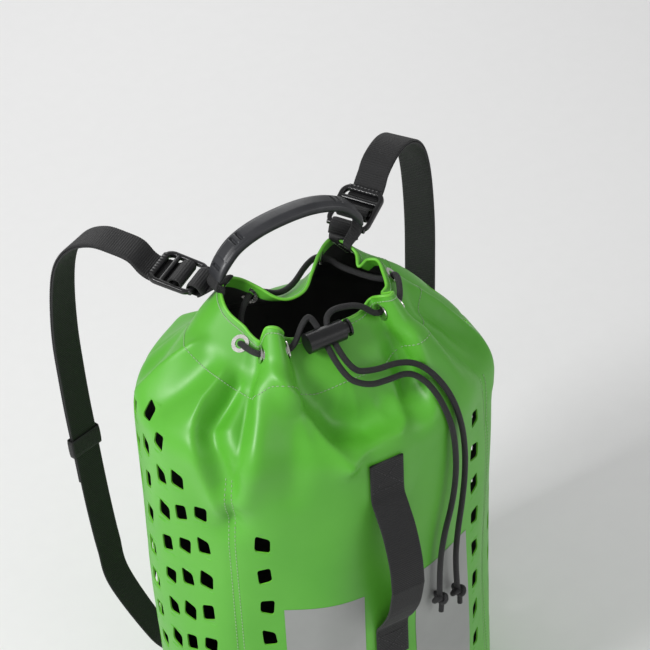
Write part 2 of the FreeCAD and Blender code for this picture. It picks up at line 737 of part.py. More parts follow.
def make_lock_spring():
    """The coil spring behind the plunger, at its pressed length."""
    radius = size("springRadius")
    helix = Part.makeHelix(SPRING_PITCH, SPRING_PITCH * SPRING_TURNS, radius)
    ring = Part.makeCircle(size("springWire") / 2, Vector(radius, 0, 0), Vector(0, 1, 0))
    coil = Part.Wire(helix).makePipeShell([Part.Wire(ring)], True, True)
    seat = lock_start + size("lockFloor") + size("springWire") / 2 + SPRING_ROOM
    shape_part("cord_lock_spring", coil,
               lock_place.multiply(FreeCAD.Placement(Vector(seat, 0, 0), along_x)))


make_lock_body()
make_lock_button()
make_lock_spring()

# ---------------------------------------------------------------- cords


def corner_cut(points, index):
    """How far before a corner its arc starts, the arc's radius and the turn there."""
    before = points[index] - points[index - 1]
    after = points[index + 1] - points[index]
    turn = before.getAngle(after)
    cut_back = size("arcShare") * min(before.Length, after.Length)
    return cut_back, cut_back / math.tan(turn / 2), turn


def cord_tube(name, points):
    """A round cord along straight runs joined by tangent arcs."""
    edges = []
    radii = []
    start = points[0]
    for i in range(1, len(points) - 1):
        cut_back, radius, turn = corner_cut(points, i)
        radii.append(round(radius, 1))
        before = unit(points[i] - points[i - 1])
        after = unit(points[i + 1] - points[i])
        enter = points[i] - before * cut_back
        leave = points[i] + after * cut_back
        centre = points[i] + unit(after - before) * (radius / math.cos(turn / 2))
        middle = centre + unit(points[i] - centre) * radius
        edges.append(Part.LineSegment(start, enter).toShape())
        edges.append(Part.Arc(enter, middle, leave).toShape())
        start = leave
    edges.append(Part.LineSegment(start, points[-1]).toShape())
    path = Part.Wire(edges)
    ring = Part.Wire(Part.makeCircle(cord_radius, points[0], points[1] - points[0]))
    tube = path.makePipeShell([ring], True, False)
    ratio = tube.Volume / (math.pi * cord_radius ** 2 * path.Length)
    print("%s length %.0f mm, volume ratio %.3f, radii %s" % (name, path.Length, ratio, radii))
    return shape_part(name, tube)


def lock_point(across, down):
    """A point in the cord lock's own frame: across along its barrel, down along the cords."""
    return lock_centre + Vector(1, 0, 0) * across + slope_down * down


left_top = lock_point(-spacing / 2, 0)
right_top = lock_point(spacing / 2, 0)


def through(number, distance):
    """A point off an eyelet's centre, outwards when positive."""
    point, normal = eyelet_places[number - 1]
    return point - normal * (tarp / 2) + normal * distance


LOOP_ROUTE = [
    left_top, lock_point(-4, -22), Vector(-30, -44, 577), through(1, 7), through(1, -5),
    through(2, -5), through(2, 6), through(3, 7), through(3, -9),
    Vector(-66, 16, 552), through(4, -9), through(4, 9), Vector(-10, 26, 548),
    through(5, 9), through(5, -9), Vector(52, 30, 552), through(6, -9), through(6, 8),
    through(7, 8), through(7, -5), through(8, -5), through(8, 7),
    Vector(26, -46, 573), lock_point(4, -22), right_top]
cord_tube("drawcord_loop", LOOP_ROUTE)

STRAND_LEFT = [left_top, lock_point(-4, 40), Vector(2, -102, 524), Vector(25, -101, 520),
               Vector(47, -98, 517), Vector(61, -104, 506), Vector(70, -115, 489),
               Vector(76, -126, 464), Vector(79, -129, 434), Vector(79, -130, 398),
               Vector(73, -132, 363), Vector(62, -134, 329), Vector(55, -136, 292),
               Vector(54, -137, 255)]
STRAND_RIGHT = [right_top, lock_point(4, 38), Vector(14, -95, 532), Vector(38, -93, 529),
                Vector(58, -94, 521), Vector(73, -103, 506), Vector(83, -116, 485),
                Vector(88, -125, 457), Vector(92, -125, 424), Vector(92, -125, 388),
                Vector(87, -127, 353), Vector(80, -129, 317), Vector(76, -131, 281),
                Vector(78, -131, 247)]
for side_name, route in (("left", STRAND_LEFT), ("right", STRAND_RIGHT)):
    cord_tube("cord_strand_" + side_name, route)
    last = route[-1]
    heading = unit(last - route[-2])
    knot_centre = last + heading * size("knotRadius")
    knot = doc.addObject("Part::Sphere", "knot_" + side_name)
    bind(knot, Radius="Dimensions.knotRadius")
    knot.Placement = FreeCAD.Placement(knot_centre, FreeCAD.Rotation(UP, heading))
    keep(knot, "cord_knot_" + side_name)

# ---------------------------------------------------------------- checks and export

doc.recompute()
for obj in doc.Objects:
    if "Invalid" in obj.State or "Error" in obj.State:
        raise RuntimeError("%s failed: %s" % (obj.Label, obj.State))
os.makedirs("parts", exist_ok=True)
for part in parts:
    shape = part.Shape
    if shape.isNull() or not shape.isValid() or not shape.Solids:
        raise RuntimeError("%s has no valid solid" % part.Label)
    shape.exportStep("parts/%s.step" % part.Label)
print("%d parts" % len(parts))
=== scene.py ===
import math
import bpy
import bmesh
import numpy as np
from mathutils import Matrix, Vector
from mathutils.geometry import tessellate_polygon


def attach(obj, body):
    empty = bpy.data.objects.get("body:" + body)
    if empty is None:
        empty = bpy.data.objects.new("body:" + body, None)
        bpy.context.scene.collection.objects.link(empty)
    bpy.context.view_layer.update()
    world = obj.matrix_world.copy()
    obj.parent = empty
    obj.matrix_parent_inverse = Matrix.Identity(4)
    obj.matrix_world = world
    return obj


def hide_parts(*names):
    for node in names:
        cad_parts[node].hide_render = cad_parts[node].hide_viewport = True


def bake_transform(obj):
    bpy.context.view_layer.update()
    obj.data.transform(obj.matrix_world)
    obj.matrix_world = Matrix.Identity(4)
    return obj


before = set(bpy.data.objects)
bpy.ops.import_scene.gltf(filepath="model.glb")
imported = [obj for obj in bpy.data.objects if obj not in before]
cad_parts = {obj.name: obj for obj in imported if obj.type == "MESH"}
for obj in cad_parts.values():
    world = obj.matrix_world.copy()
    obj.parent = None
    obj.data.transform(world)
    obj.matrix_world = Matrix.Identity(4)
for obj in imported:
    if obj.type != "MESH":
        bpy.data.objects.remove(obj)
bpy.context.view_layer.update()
MM = 0.001


# ---------------- camera, floor and light

AIM = Vector((0.0, 0.0, 0.405))
AZIMUTH, ELEVATION, ROLL = -28.0, 40.0, 3.0
SENSOR, LENS = 36.0, 144.0
AIM_RIGHT, AIM_DOWN = -0.00874, 0.09223
CAMERA_DISTANCE = 2.5243


def make_camera():
    """The camera, above the bag's front left corner, with the bag low in the frame."""
    az, el, roll = (math.radians(a) for a in (AZIMUTH, ELEVATION, ROLL))
    back = Vector((math.sin(az) * math.cos(el), -math.cos(az) * math.cos(el), math.sin(el)))
    level = Vector((math.cos(az), math.sin(az), 0))
    rise = back.cross(level)
    right = level * math.cos(roll) - rise * math.sin(roll)
    up = rise * math.cos(roll) + level * math.sin(roll)
    place = AIM - right * AIM_RIGHT + up * AIM_DOWN + back * CAMERA_DISTANCE
    data = bpy.data.cameras.new("camera")
    data.sensor_width = SENSOR
    data.lens = LENS
    camera = bpy.data.objects.new("camera", data)
    rows = [[right[i], up[i], back[i], place[i]] for i in range(3)] + [[0, 0, 0, 1]]
    camera.matrix_world = Matrix(rows)
    bpy.context.scene.collection.objects.link(camera)
    bpy.context.scene.camera = camera


def area_light(name, place, size, power):
    data = bpy.data.lights.new(name, "AREA")
    data.energy = power
    data.size = size
    light = bpy.data.objects.new(name, data)
    light.location = place
    light.rotation_euler = (AIM - Vector(place)).to_track_quat("-Z", "Y").to_euler()
    bpy.context.scene.collection.objects.link(light)


make_camera()
area_light("key", (-1.9, -0.2, 1.9), 0.7, 46)
area_light("fill", (1.6, -1.9, 1.2), 1.4, 11)
area_light("rim_light", (0.6, 1.9, 1.5), 1.2, 12)
world = bpy.data.worlds.new("studio")
world.use_nodes = True
world.node_tree.nodes["Background"].inputs["Color"].default_value = (1, 1, 1, 1)
world.node_tree.nodes["Background"].inputs["Strength"].default_value = 0.42
bpy.context.scene.world = world
bpy.context.scene.view_settings.view_transform = "Standard"

# ---------------- mesh helpers


def new_mesh(name, verts, faces):
    mesh = bpy.data.meshes.new(name)
    mesh.from_pydata([tuple(v) for v in verts], [], faces)
    mesh.validate()
    obj = bpy.data.objects.new(name, mesh)
    bpy.context.scene.collection.objects.link(obj)
    mesh.polygons.foreach_set("use_smooth", [True] * len(mesh.polygons))
    return obj


def finish_piece(obj, material, body=None):
    """Material and body of a finished piece."""
    if material is not None:
        obj.data.materials.append(material)
    if body is not None:
        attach(obj, body)
    return obj


def smooth_path(points, spacing):
    """Evenly spaced points on a smooth curve through given ones."""
    p = np.array(points, float)
    p = np.vstack([2 * p[0] - p[1], p, 2 * p[-1] - p[-2]])
    fine = []
    for i in range(1, len(p) - 2):
        t = np.linspace(0, 1, 24, endpoint=False)[:, None]
        a, b, c, d = p[i - 1], p[i], p[i + 1], p[i + 2]
        fine.append(0.5 * (2 * b + (c - a) * t + (2 * a - 5 * b + 4 * c - d) * t ** 2
                           + (3 * b - a - 3 * c + d) * t ** 3))
    fine.append(p[-2][None])
    fine = np.vstack(fine)
    walk = np.concatenate([[0], np.cumsum(np.linalg.norm(np.diff(fine[:, :3], axis=0), axis=1))])
    count = max(2, int(round(walk[-1] / spacing)) + 1)
    at = np.linspace(0, walk[-1], count)
    return np.stack([np.interp(at, walk, fine[:, k]) for k in range(fine.shape[1])], 1), at


def unit_rows(v):
    return v / np.maximum(np.linalg.norm(v, axis=-1, keepdims=True), 1e-12)


def tube_mesh(name, rings, marks, around, closed=False):
    """A tube of rings, capped unless closed, with UVs in millimetres."""
    count, size = rings.shape[:2]
    verts = rings.reshape(-1, 3)
    faces = []
    uvs = []
    turns = count if closed else count - 1
    for i in range(turns):
        j = (i + 1) % count
        low, high = marks[i], marks[i + 1] if i + 1 < len(marks) else marks[-1]
        for k in range(size):
            n = (k + 1) % size
            faces.append((i * size + k, i * size + n, j * size + n, j * size + k))
            uvs += [(around[k], low), (around[k + 1], low), (around[k + 1], high),
                    (around[k], high)]
    if not closed:
        faces.append(tuple(range(size))[::-1])
        faces.append(tuple((count - 1) * size + k for k in range(size)))
        uvs += [(around[k], marks[0]) for k in range(size)][::-1]
        uvs += [(around[k], marks[-1]) for k in range(size)]
    obj = new_mesh(name, verts, faces)
    layer = obj.data.uv_layers.new(name="weave")
    flat = np.array(uvs, np.float32).ravel() / MM
    if len(flat) == len(layer.data) * 2:
        layer.data.foreach_set("uv", flat)
    return obj


def band_section(width, thickness):
    """The outline of a flat band with rounded edges, as (across, out)."""
    half, r = width / 2, thickness / 2
    flat = np.linspace(-half + r, half - r, 11)
    turn = np.linspace(-90, 90, 5)[1:-1]
    section = [(x, -r) for x in flat]
    section += [(half - r + r * math.cos(math.radians(a)), r * math.sin(math.radians(a)))
                for a in turn]
    section += [(x, r) for x in flat[::-1]]
    section += [(-half + r - r * math.cos(math.radians(a)), -r * math.sin(math.radians(a)))
                for a in turn]
    return np.array(section)


BAND_SPACING = 0.6 * MM
RIB_PITCH = 2.3 * MM
RIB_DEPTH = 0.24 * MM


def band(name, centres, widths, width, thickness):
    """Ribbed webbing along a smooth line, its width held along the given directions."""
    rows = np.hstack([np.array(centres, float), np.array(widths, float)])
    path, marks = smooth_path(rows, BAND_SPACING)
    line = path[:, :3]
    across = unit_rows(path[:, 3:])
    along = unit_rows(np.gradient(line, axis=0))
    out = unit_rows(np.cross(along, across))
    across = unit_rows(np.cross(out, along))
    section = band_section(width, thickness)
    swell = RIB_DEPTH * np.cos(2 * math.pi * marks / RIB_PITCH)
    lift = np.sign(section[:, 1]) * np.minimum(np.abs(section[:, 1]) * 2 / thickness, 1)
    rings = (line[:, None] + across[:, None] * section[None, :, :1]
             + out[:, None] * (section[None, :, 1:] + (swell[:, None] * lift[None])[..., None]))
    step = np.linalg.norm(np.diff(np.vstack([section, section[:1]]), axis=0), axis=1)
    around = np.concatenate([[0], np.cumsum(step)])
    return tube_mesh(name, rings, marks, around)


def round_tube(name, line, radius, sides=16, swell=None):
    """A round tube along points, turned as little as possible."""
    line = np.array(line, float)
    along = unit_rows(np.gradient(line, axis=0))
    side = np.array(Vector(along[0]).orthogonal().normalized())
    sides_list = []
    for a in along:
        side = side - a * (side @ a)
        side = side / np.linalg.norm(side)
        sides_list.append(side)
    side = np.array(sides_list)
    other = np.cross(along, side)
    turn = np.linspace(0, 2 * math.pi, sides, endpoint=False)
    marks = np.concatenate([[0], np.cumsum(np.linalg.norm(np.diff(line, axis=0), axis=1))])
    r = np.full((len(line), sides), radius)
    if swell is not None:
        r = r + swell(marks[:, None], turn[None])
    rings = (line[:, None] + side[:, None] * (r * np.cos(turn))[..., None]
             + other[:, None] * (r * np.sin(turn))[..., None])
    around = np.linspace(0, 2 * math.pi * radius, sides + 1)
    return tube_mesh(name, rings, marks, around)

# ---------------- materials


def node_material(name, roughness, metallic=0.0):
    mat = bpy.data.materials.new(name)
    mat.use_nodes = True
    shader = mat.node_tree.nodes["Principled BSDF"]
    shader.inputs["Roughness"].default_value = roughness
    shader.inputs["Metallic"].default_value = metallic
    return mat, mat.node_tree.nodes, mat.node_tree.links, shader


def coordinates(nodes, links, kind, scale):
    """Object or UV coordinates, stretched."""
    source = nodes.new("ShaderNodeTexCoord")
    mapping = nodes.new("ShaderNodeMapping")
    mapping.inputs["Scale"].default_value = scale
    links.new(source.outputs[kind], mapping.inputs["Vector"])
    return mapping.outputs["Vector"]


def noise(nodes, links, vector, scale, detail=3.0):
    tex = nodes.new("ShaderNodeTexNoise")
    tex.inputs["Scale"].default_value = scale
    tex.inputs["Detail"].default_value = detail
    links.new(vector, tex.inputs["Vector"])
    return tex.outputs["Fac"]


def ramp(nodes, links, factor, low, high, start=0.3, end=0.7):
    node = nodes.new("ShaderNodeValToRGB")
    node.color_ramp.elements[0].position = start
    node.color_ramp.elements[1].position = end
    node.color_ramp.elements[0].color = (*low, 1)
    node.color_ramp.elements[1].color = (*high, 1)
    links.new(factor, node.inputs["Fac"])
    return node.outputs["Color"]


def bump(nodes, links, height, shader, strength, distance, under=None):
    node = nodes.new("ShaderNodeBump")
    node.inputs["Strength"].default_value = strength
    node.inputs["Distance"].default_value = distance
    links.new(height, node.inputs["Height"])
    if under is not None:
        links.new(under, node.inputs["Normal"])
    links.new(node.outputs["Normal"], shader.inputs["Normal"])
    return node.outputs["Normal"]


def wave(nodes, links, vector, scale, direction="X"):
    tex = nodes.new("ShaderNodeTexWave")
    tex.bands_direction = direction
    tex.inputs["Scale"].default_value = scale
    links.new(vector, tex.inputs["Vector"])
    return tex.outputs["Fac"]


def tarp_material(name, low, high, roughness):
    """Coated tarpaulin: a faint scrim under a satin skin, slightly mottled and scuffed."""
    mat, nodes, links, shader = node_material(name, roughness)
    place = coordinates(nodes, links, "Object", (1, 1, 1))
    mottled = noise(nodes, links, place, 9, 4)
    links.new(ramp(nodes, links, mottled, low, high), shader.inputs["Base Color"])
    scuff = noise(nodes, links, place, 60, 5)
    gloss = nodes.new("ShaderNodeMapRange")
    gloss.inputs["To Min"].default_value = roughness - 0.05
    gloss.inputs["To Max"].default_value = roughness + 0.09
    links.new(scuff, gloss.inputs["Value"])
    links.new(gloss.outputs["Result"], shader.inputs["Roughness"])
    grain = noise(nodes, links, place, 900, 2)
    first = bump(nodes, links, grain, shader, 0.10, 0.0003)
    weave = coordinates(nodes, links, "UV", (1, 1, 1))
    warp = wave(nodes, links, weave, 0.45, "X")
    weft = wave(nodes, links, weave, 0.45, "Y")
    scrim = nodes.new("ShaderNodeMath")
    scrim.operation = "MAXIMUM"
    links.new(warp, scrim.inputs[0])
    links.new(weft, scrim.inputs[1])
    bump(nodes, links, scrim.outputs["Value"], shader, 0.05, 0.0003, first)
    return mat


def weave_material(name, shaded_dip_colour, light, roughness, yarn=0.55, sheen=0.06):
    """Narrow woven fabric: yarns along it over the ribs that cross it. Its colour follows the
    weave's height, so painted shade darkens the dips between yarns, over a random fuzz of tone.
    """
    mat, nodes, links, shader = node_material(name, roughness)
    shader.inputs["Sheen Weight"].default_value = sheen
    place = coordinates(nodes, links, "UV", (1, 1, 1))
    yarns = wave(nodes, links, place, yarn, "X")
    picks = wave(nodes, links, place, yarn, "DIAGONAL")
    both = nodes.new("ShaderNodeMath")
    both.operation = "MULTIPLY"
    links.new(yarns, both.inputs[0])
    links.new(picks, both.inputs[1])
    fuzz = noise(nodes, links, coordinates(nodes, links, "Object", (1, 1, 1)), 700, 3)
    mixed = nodes.new("ShaderNodeMath")
    mixed.operation = "MULTIPLY_ADD"
    mixed.inputs[1].default_value = 0.45
    links.new(fuzz, mixed.inputs[0])
    links.new(both.outputs["Value"], mixed.inputs[2])
    height = mixed.outputs["Value"]
    # painted shade: the first colour sits in the weave's dips and the second on the yarn crests,
    # mixed with random fuzz tone
    links.new(ramp(nodes, links, height, shaded_dip_colour, light, 0.1, 1.1), shader.inputs["Base Color"])
    bump(nodes, links, height, shader, 0.6, 0.0004)
    return mat


def plastic_material(name, low, high, roughness, grain_size=1400, grain=0.12):
    """Moulded nylon: fine grain, faint flow marks and worn, shinier high spots."""
    mat, nodes, links, shader = node_material(name, roughness)
    place = coordinates(nodes, links, "Object", (1, 1, 1))
    flow = noise(nodes, links, place, 45, 4)
    links.new(ramp(nodes, links, flow, low, high), shader.inputs["Base Color"])
    worn = nodes.new("ShaderNodeMapRange")
    worn.inputs["To Min"].default_value = roughness - 0.07
    worn.inputs["To Max"].default_value = roughness + 0.10
    links.new(noise(nodes, links, place, 120, 3), worn.inputs["Value"])
    links.new(worn.outputs["Result"], shader.inputs["Roughness"])
    bump(nodes, links, noise(nodes, links, place, grain_size, 2), shader, grain, 0.0004)
    return mat


def metal_material(name, low, high, roughness):
    """Plated or drawn metal with fine scratches."""
    mat, nodes, links, shader = node_material(name, roughness, 1.0)
    place = coordinates(nodes, links, "Object", (1, 1, 1))
    links.new(ramp(nodes, links, noise(nodes, links, place, 150, 3), low, high),
              shader.inputs["Base Color"])
    scratch = noise(nodes, links, coordinates(nodes, links, "Object", (300, 300, 2400)), 1.0)
    bump(nodes, links, scratch, shader, 0.08, 0.0002)
    return mat


GREEN = tarp_material("tarpaulin_outside", (0.080, 0.375, 0.022), (0.108, 0.44, 0.034), 0.41)
INSIDE = tarp_material("tarpaulin_inside", (0.005, 0.0055, 0.005), (0.011, 0.012, 0.011), 0.55)
HEM = tarp_material("tarpaulin_edge", (0.13, 0.50, 0.03), (0.17, 0.58, 0.045), 0.42)
# in these woven materials the first colour is painted shade in the weave's dips, mixed with
# random tone; the second is the colour on the yarn crests
WEBBING = weave_material("webbing", (0.0016, 0.0016, 0.002), (0.013, 0.013, 0.0145), 0.62)
ELASTIC = weave_material("elastic", (0.0015, 0.0015, 0.0015), (0.011, 0.011, 0.012), 0.7, 0.9)
CORD = weave_material("cord_braid", (0.0018, 0.0018, 0.002), (0.017, 0.017, 0.019), 0.55, 0.8)
THREAD = weave_material("pale_thread", (0.24, 0.42, 0.20), (0.50, 0.68, 0.42), 0.6, 1.5)
DARK_THREAD = weave_material("black_thread", (0.01, 0.01, 0.01), (0.06, 0.06, 0.065), 0.5, 1.5)
PLASTIC = plastic_material("black_plastic", (0.004, 0.004, 0.0045), (0.008, 0.008, 0.009), 0.28)
GRIP = plastic_material("grip_plastic", (0.020, 0.021, 0.024), (0.032, 0.033, 0.037), 0.38,
                        900, 0.2)
NICKEL = metal_material("nickel", (0.60, 0.59, 0.56), (0.76, 0.75, 0.72), 0.20)
STEEL = metal_material("spring_steel", (0.42, 0.42, 0.42), (0.56, 0.56, 0.55), 0.32)
PRINT = tarp_material("grey_print", (0.27, 0.28, 0.27), (0.34, 0.35, 0.34), 0.5)
FLOOR = plastic_material("pale_floor", (0.83, 0.83, 0.83), (0.84, 0.84, 0.84), 0.8, 300, 0.0)

floor = new_mesh("floor", [(-6, -6, -0.0015), (6, -6, -0.0015), (6, 6, -0.0015),
                           (-6, 6, -0.0015)], [(0, 1, 2, 3)])
floor.data.materials.append(FLOOR)

# ---------------- the tarpaulin shell

HALF_WIDTH, HALF_DEPTH = 0.180, 0.134
SHOULDER, SHOULDER_TILT = 0.474, 0.10
TARP = 0.0016
SEAM = 38.8
# The gathered rim: cloth angle, then x, y and z in millimetres, as in the CAD part.
RIM = [
    (SEAM - 180, -73, -19, 562), (-133, -70, -31, 560), (-128, -70, -37, 571),
    (-123, -67, -41, 582), (-118, -59, -47, 583), (-113, -52, -45, 573),
    (-109, -49, -37, 560), (-103, -38, -42, 557), (-90, -8, -46, 560),
    (-78, 28, -43, 558), (-70, 46, -34, 561),
    (-66, 48, -45, 570), (-60, 56, -52, 573), (-54, 64, -46, 570), (-49, 61, -32, 560),
    (-SEAM, 70, -24, 560), (-30, 76, -8, 562), (-16, 79, 8, 565), (-6, 72, 16, 563),
    (4, 62, 14, 561), (14, 66, 25, 568), (24, 62, 38, 573), (SEAM, 52, 49, 575),
    (56, 34, 40, 572), (72, 16, 23, 567), (90, 0, 9, 562), (104, -16, 8, 560),
    (118, -28, 15, 563), (130, -37, 28, 569), (180 - SEAM, -50, 40, 577),
    (152, -63, 43, 581), (163, -74, 33, 579), (176, -79, 20, 575), (188, -79, 8, 570),
    (205, -74, -10, 565),
]
rim_keys = np.array([row[0] for row in RIM], float)
rim_spots = np.array([row[1:] for row in RIM], float) * MM
table_angles = np.linspace(SEAM - 180, SEAM + 180, 3601)
table_x = HALF_WIDTH * np.cos(np.radians(table_angles))
table_y = HALF_DEPTH * np.sin(np.radians(table_angles))
table_arc = np.concatenate([[0], np.cumsum(np.hypot(np.diff(table_x), np.diff(table_y)))])
GIRTH = table_arc[-1]
FOLD_RADIUS = 0.018


def arc_of(angle):
    """How far round the cloth an angle is, from the front left seam."""
    return np.interp(angle, table_angles, table_arc)


def angle_of(arc):
    return np.interp(np.mod(arc, GIRTH), table_arc, table_angles)


def rim_curve(angle):
    """A smooth closed curve through the rim's points."""
    keys = np.concatenate([rim_keys[-2:] - 360, rim_keys, rim_keys[:3] + 360])
    spots = np.concatenate([rim_spots[-2:], rim_spots, rim_spots[:3]])
    a = np.mod(angle - rim_keys[0], 360) + rim_keys[0]
    i = np.clip(np.searchsorted(keys, a, side="right") - 1, 1, len(keys) - 3)
    step = (keys[i + 1] - keys[i])[:, None]
    t = (a - keys[i])[:, None] / step
    lead = (spots[i + 1] - spots[i - 1]) / (keys[i + 1] - keys[i - 1])[:, None] * step
    trail = (spots[i + 2] - spots[i]) / (keys[i + 2] - keys[i])[:, None] * step
    return ((2 * t ** 3 - 3 * t ** 2 + 1) * spots[i] + (t ** 3 - 2 * t ** 2 + t) * lead
            + (3 * t ** 2 - 2 * t ** 3) * spots[i + 1] + (t ** 3 - t ** 2) * trail)


def plain_shell(arc, height):
    """The shell with no folds of its own: upright wall, rounded shoulder, straight slope."""
    angle = angle_of(arc)
    turn = np.radians(angle)
    ring = np.stack([HALF_WIDTH * np.cos(turn), HALF_DEPTH * np.sin(turn),
                     SHOULDER - SHOULDER_TILT * HALF_WIDTH * np.cos(turn)], 1)
    slope = rim_curve(angle) - ring
    length = np.linalg.norm(slope, axis=1)
    top = ring[:, 2]

    def sharp(h):
        wall = ring.copy()
        wall[:, 2] = np.minimum(h, top)
        share = np.clip((h - top) / length, 0, None)[:, None]
        return wall + slope * share

    t = np.clip((height - top + FOLD_RADIUS) / (2 * FOLD_RADIUS), 0, 1)[:, None]
    curve = ((1 - t) ** 2 * sharp(top - FOLD_RADIUS) + 2 * t * (1 - t) * ring
             + t ** 2 * sharp(top + FOLD_RADIUS))
    near = (np.abs(height - top) < FOLD_RADIUS)[:, None]
    return np.where(near, curve, sharp(height)), top + length


def from_line(arc, height, line):
    """How far points of the cloth are from a drawn line, and the share along it."""
    line = np.array(line, float) * MM
    best = np.full(len(arc), 9.0)
    share = np.zeros(len(arc))
    for i, (a, b) in enumerate(zip(line[:-1], line[1:])):
        da = np.mod(arc - a[0] + GIRTH / 2, GIRTH) - GIRTH / 2
        dh = height - a[1]
        run = b - a
        t = np.clip((da * run[0] + dh * run[1]) / (run @ run), 0, 1)
        d = np.hypot(da - t * run[0], dh - t * run[1])
        closer = d < best
        best = np.where(closer, d, best)
        share = np.where(closer, (i + t) / (len(line) - 1), share)
    return best, share


# Folds drawn on the cloth: lift in millimetres (outwards when positive), reach to each side,
# how sharp the crest is (1 a crease, 2 a soft roll), and the line as (arc, height) points.
FOLDS = [
    # front left seam crease, with its pinch where it meets the wall
    (-8.0, 10, 1.0, [(18, 590), (14, 548), (12, 520), (13, 490), (6, 452), (0, 405)]),
    (-7.0, 14, 2.0, [(-3, 400), (3, 418)]),
    (-1.2, 5, 1.0, [(0, 405), (-3, 350), (0, 250), (0, 120), (0, 30)]),
    # left of that seam: a hollow and the ridge that edges it
    (-17.0, 15, 2.0, [(986, 556), (979, 545), (971, 530), (966, 515), (979, 488), (988, 457)]),
    (8.0, 10, 1.4, [(957, 566), (948, 540), (950, 520), (964, 486), (974, 448), (984, 412)]),
    # crease from the left rim corner down to the shoulder
    (7.5, 12, 1.3, [(917, 605), (903, 589), (884, 561), (867, 528), (856, 496)]),
    (-7.0, 18, 2.0, [(930, 575), (912, 540), (896, 510)]),
    # front pleat: its right hand ridge, its broad left one and the valley between them
    (11.0, 12, 1.3, [(53, 576), (68, 550), (90, 531), (102, 497), (117, 466)]),
    (11.0, 16, 2.0, [(34, 565), (33, 526), (24, 480), (10, 436)]),
    (-7.0, 16, 2.0, [(68, 520), (66, 485), (60, 445)]),
    # the big hollow right of the pleat, and the lip below it
    (-25.0, 25, 2.0, [(104, 530), (124, 511), (146, 502), (170, 507)]),
    (8.0, 11, 1.3, [(117, 465), (133, 475), (155, 481), (174, 479), (186, 488)]),
    (4.0, 9, 1.3, [(184, 488), (192, 508), (200, 530)]),
    # the right hand half of the front, hidden less neatly
    (7.0, 14, 1.5, [(250, 572), (240, 540), (228, 505), (214, 474)]),
    (-11.0, 20, 2.0, [(216, 540), (210, 515), (204, 496)]),
    (6.0, 20, 2.0, [(266, 556), (270, 515), (276, 470)]),
    (-4.0, 9, 1.0, [(290, 585), (294, 548), (296, 500), (304, 440), (306, 400)]),
    (-1.2, 5, 1.0, [(306, 400), (306, 250), (306, 120), (306, 30)]),
    (-9.0, 18, 2.0, [(324, 552), (336, 520), (330, 485)]),
    (5.0, 12, 1.4, [(352, 560), (362, 525), (350, 480), (326, 430)]),
    (-6.0, 20, 2.0, [(410, 560), (400, 520), (392, 488)]),
    (5.0, 14, 1.5, [(440, 575), (446, 535), (448, 495)]),
    # back: a hollow under the dip, edged by two ridges
    (-10.0, 30, 2.0, [(640, 560), (650, 530), (655, 500)]),
    (5.0, 14, 1.4, [(560, 580), (566, 540), (572, 495), (578, 455)]),
    (5.0, 14, 1.4, [(752, 585), (744, 545), (736, 500), (728, 455)]),
    (-1.2, 5, 1.0, [(496, 560), (496, 400), (496, 200), (496, 30)]),
    (-1.2, 5, 1.0, [(802, 570), (802, 400), (802, 200), (802, 30)]),
    (-6.0, 22, 2.0, [(830, 560), (838, 525), (836, 495)]),
]
RIM_CLEAR = (0.026, 0.050)
FLAT_SPOTS = [((153, 435), 34, 42), ((153, 218), 34, 42)]


def lift(arc, height, rim_height):
    """How far the folds lift the cloth off the plain shell."""
    total = np.zeros(len(arc))
    for peak, reach, power, line in FOLDS:
        d, share = from_line(arc, height, line)
        fade = 0.35 + 0.65 * np.sin(math.pi * np.clip(0.12 + 0.76 * share, 0, 1))
        total += peak * MM * fade * np.exp(-((d / (reach * MM)) ** power))
    drop = rim_height - height
    t = np.clip((drop - RIM_CLEAR[0]) / (RIM_CLEAR[1] - RIM_CLEAR[0]), 0, 1)
    total *= t * t * (3 - 2 * t)
    # slow waves that a full bag has, held off where the handle is sewn on
    swell = (1.6 * np.sin(2 * math.pi * (arc / 0.248 + height / 0.41))
             + 1.1 * np.sin(2 * math.pi * (arc / 0.099 - height / 0.33) + 1.3)) * MM
    window = np.clip(height / 0.05, 0, 1) * np.clip(drop / 0.12, 0, 1)
    total += swell * window
    for (spot_arc, spot_height), half_arc, half_height in FLAT_SPOTS:
        da = np.mod(arc - spot_arc * MM + GIRTH / 2, GIRTH) - GIRTH / 2
        d = np.hypot(da / (half_arc * MM), (height - spot_height * MM) / (half_height * MM))
        total *= np.clip((d - 0.72) / 0.5, 0, 1)
    return total


def surface(arc, height, off=0.0):
    """Points of the folded shell's outer face, moved off it by a distance."""
    arc = np.atleast_1d(np.array(arc, float))
    height = np.atleast_1d(np.array(height, float))
    step = 0.0015

    def plain(a, h):
        return plain_shell(a, h)[0]

    point, rim_height = plain_shell(arc, height)
    round_it = plain(arc + step, height) - plain(arc - step, height)
    up_it = plain(arc, height + step) - plain(arc, height - step)
    normal = unit_rows(np.cross(round_it, up_it))
    folded = point + normal * lift(arc, height, rim_height)[:, None]
    if np.any(off):
        folded = folded + normal * np.reshape(off, (-1, 1))
    return folded


def surface_normal(arc, height):
    step = 0.002
    a = surface(arc + step, height) - surface(arc - step, height)
    b = surface(arc, height + step) - surface(arc, height - step)
    return unit_rows(np.cross(a, b))


HOLE_PITCH = 43.5
LOWEST_HOLE = 62.0
SIDE_COLUMNS = [(0, 498), (28, 480), (50, 445), (72, 409)]
SIDE_MIDDLES = (409, 889)
FRONT_COLUMNS = [(29, 383), (276, 428)]
# Outline of a hole, a leaning four-sided shape: corner offsets from its middle.
HOLE_SHAPES = [[(-8, -9), (7, -12), (8, 7), (-6, 12)], [(-6, -12), (7, -7), (6, 12), (-7, 8)],
               [(-7, -7), (6, -11), (8, 10), (-6, 9)], [(-6, -10), (8, -8), (6, 8), (-7, 12)]]
HOLE_ROUND = 0.22


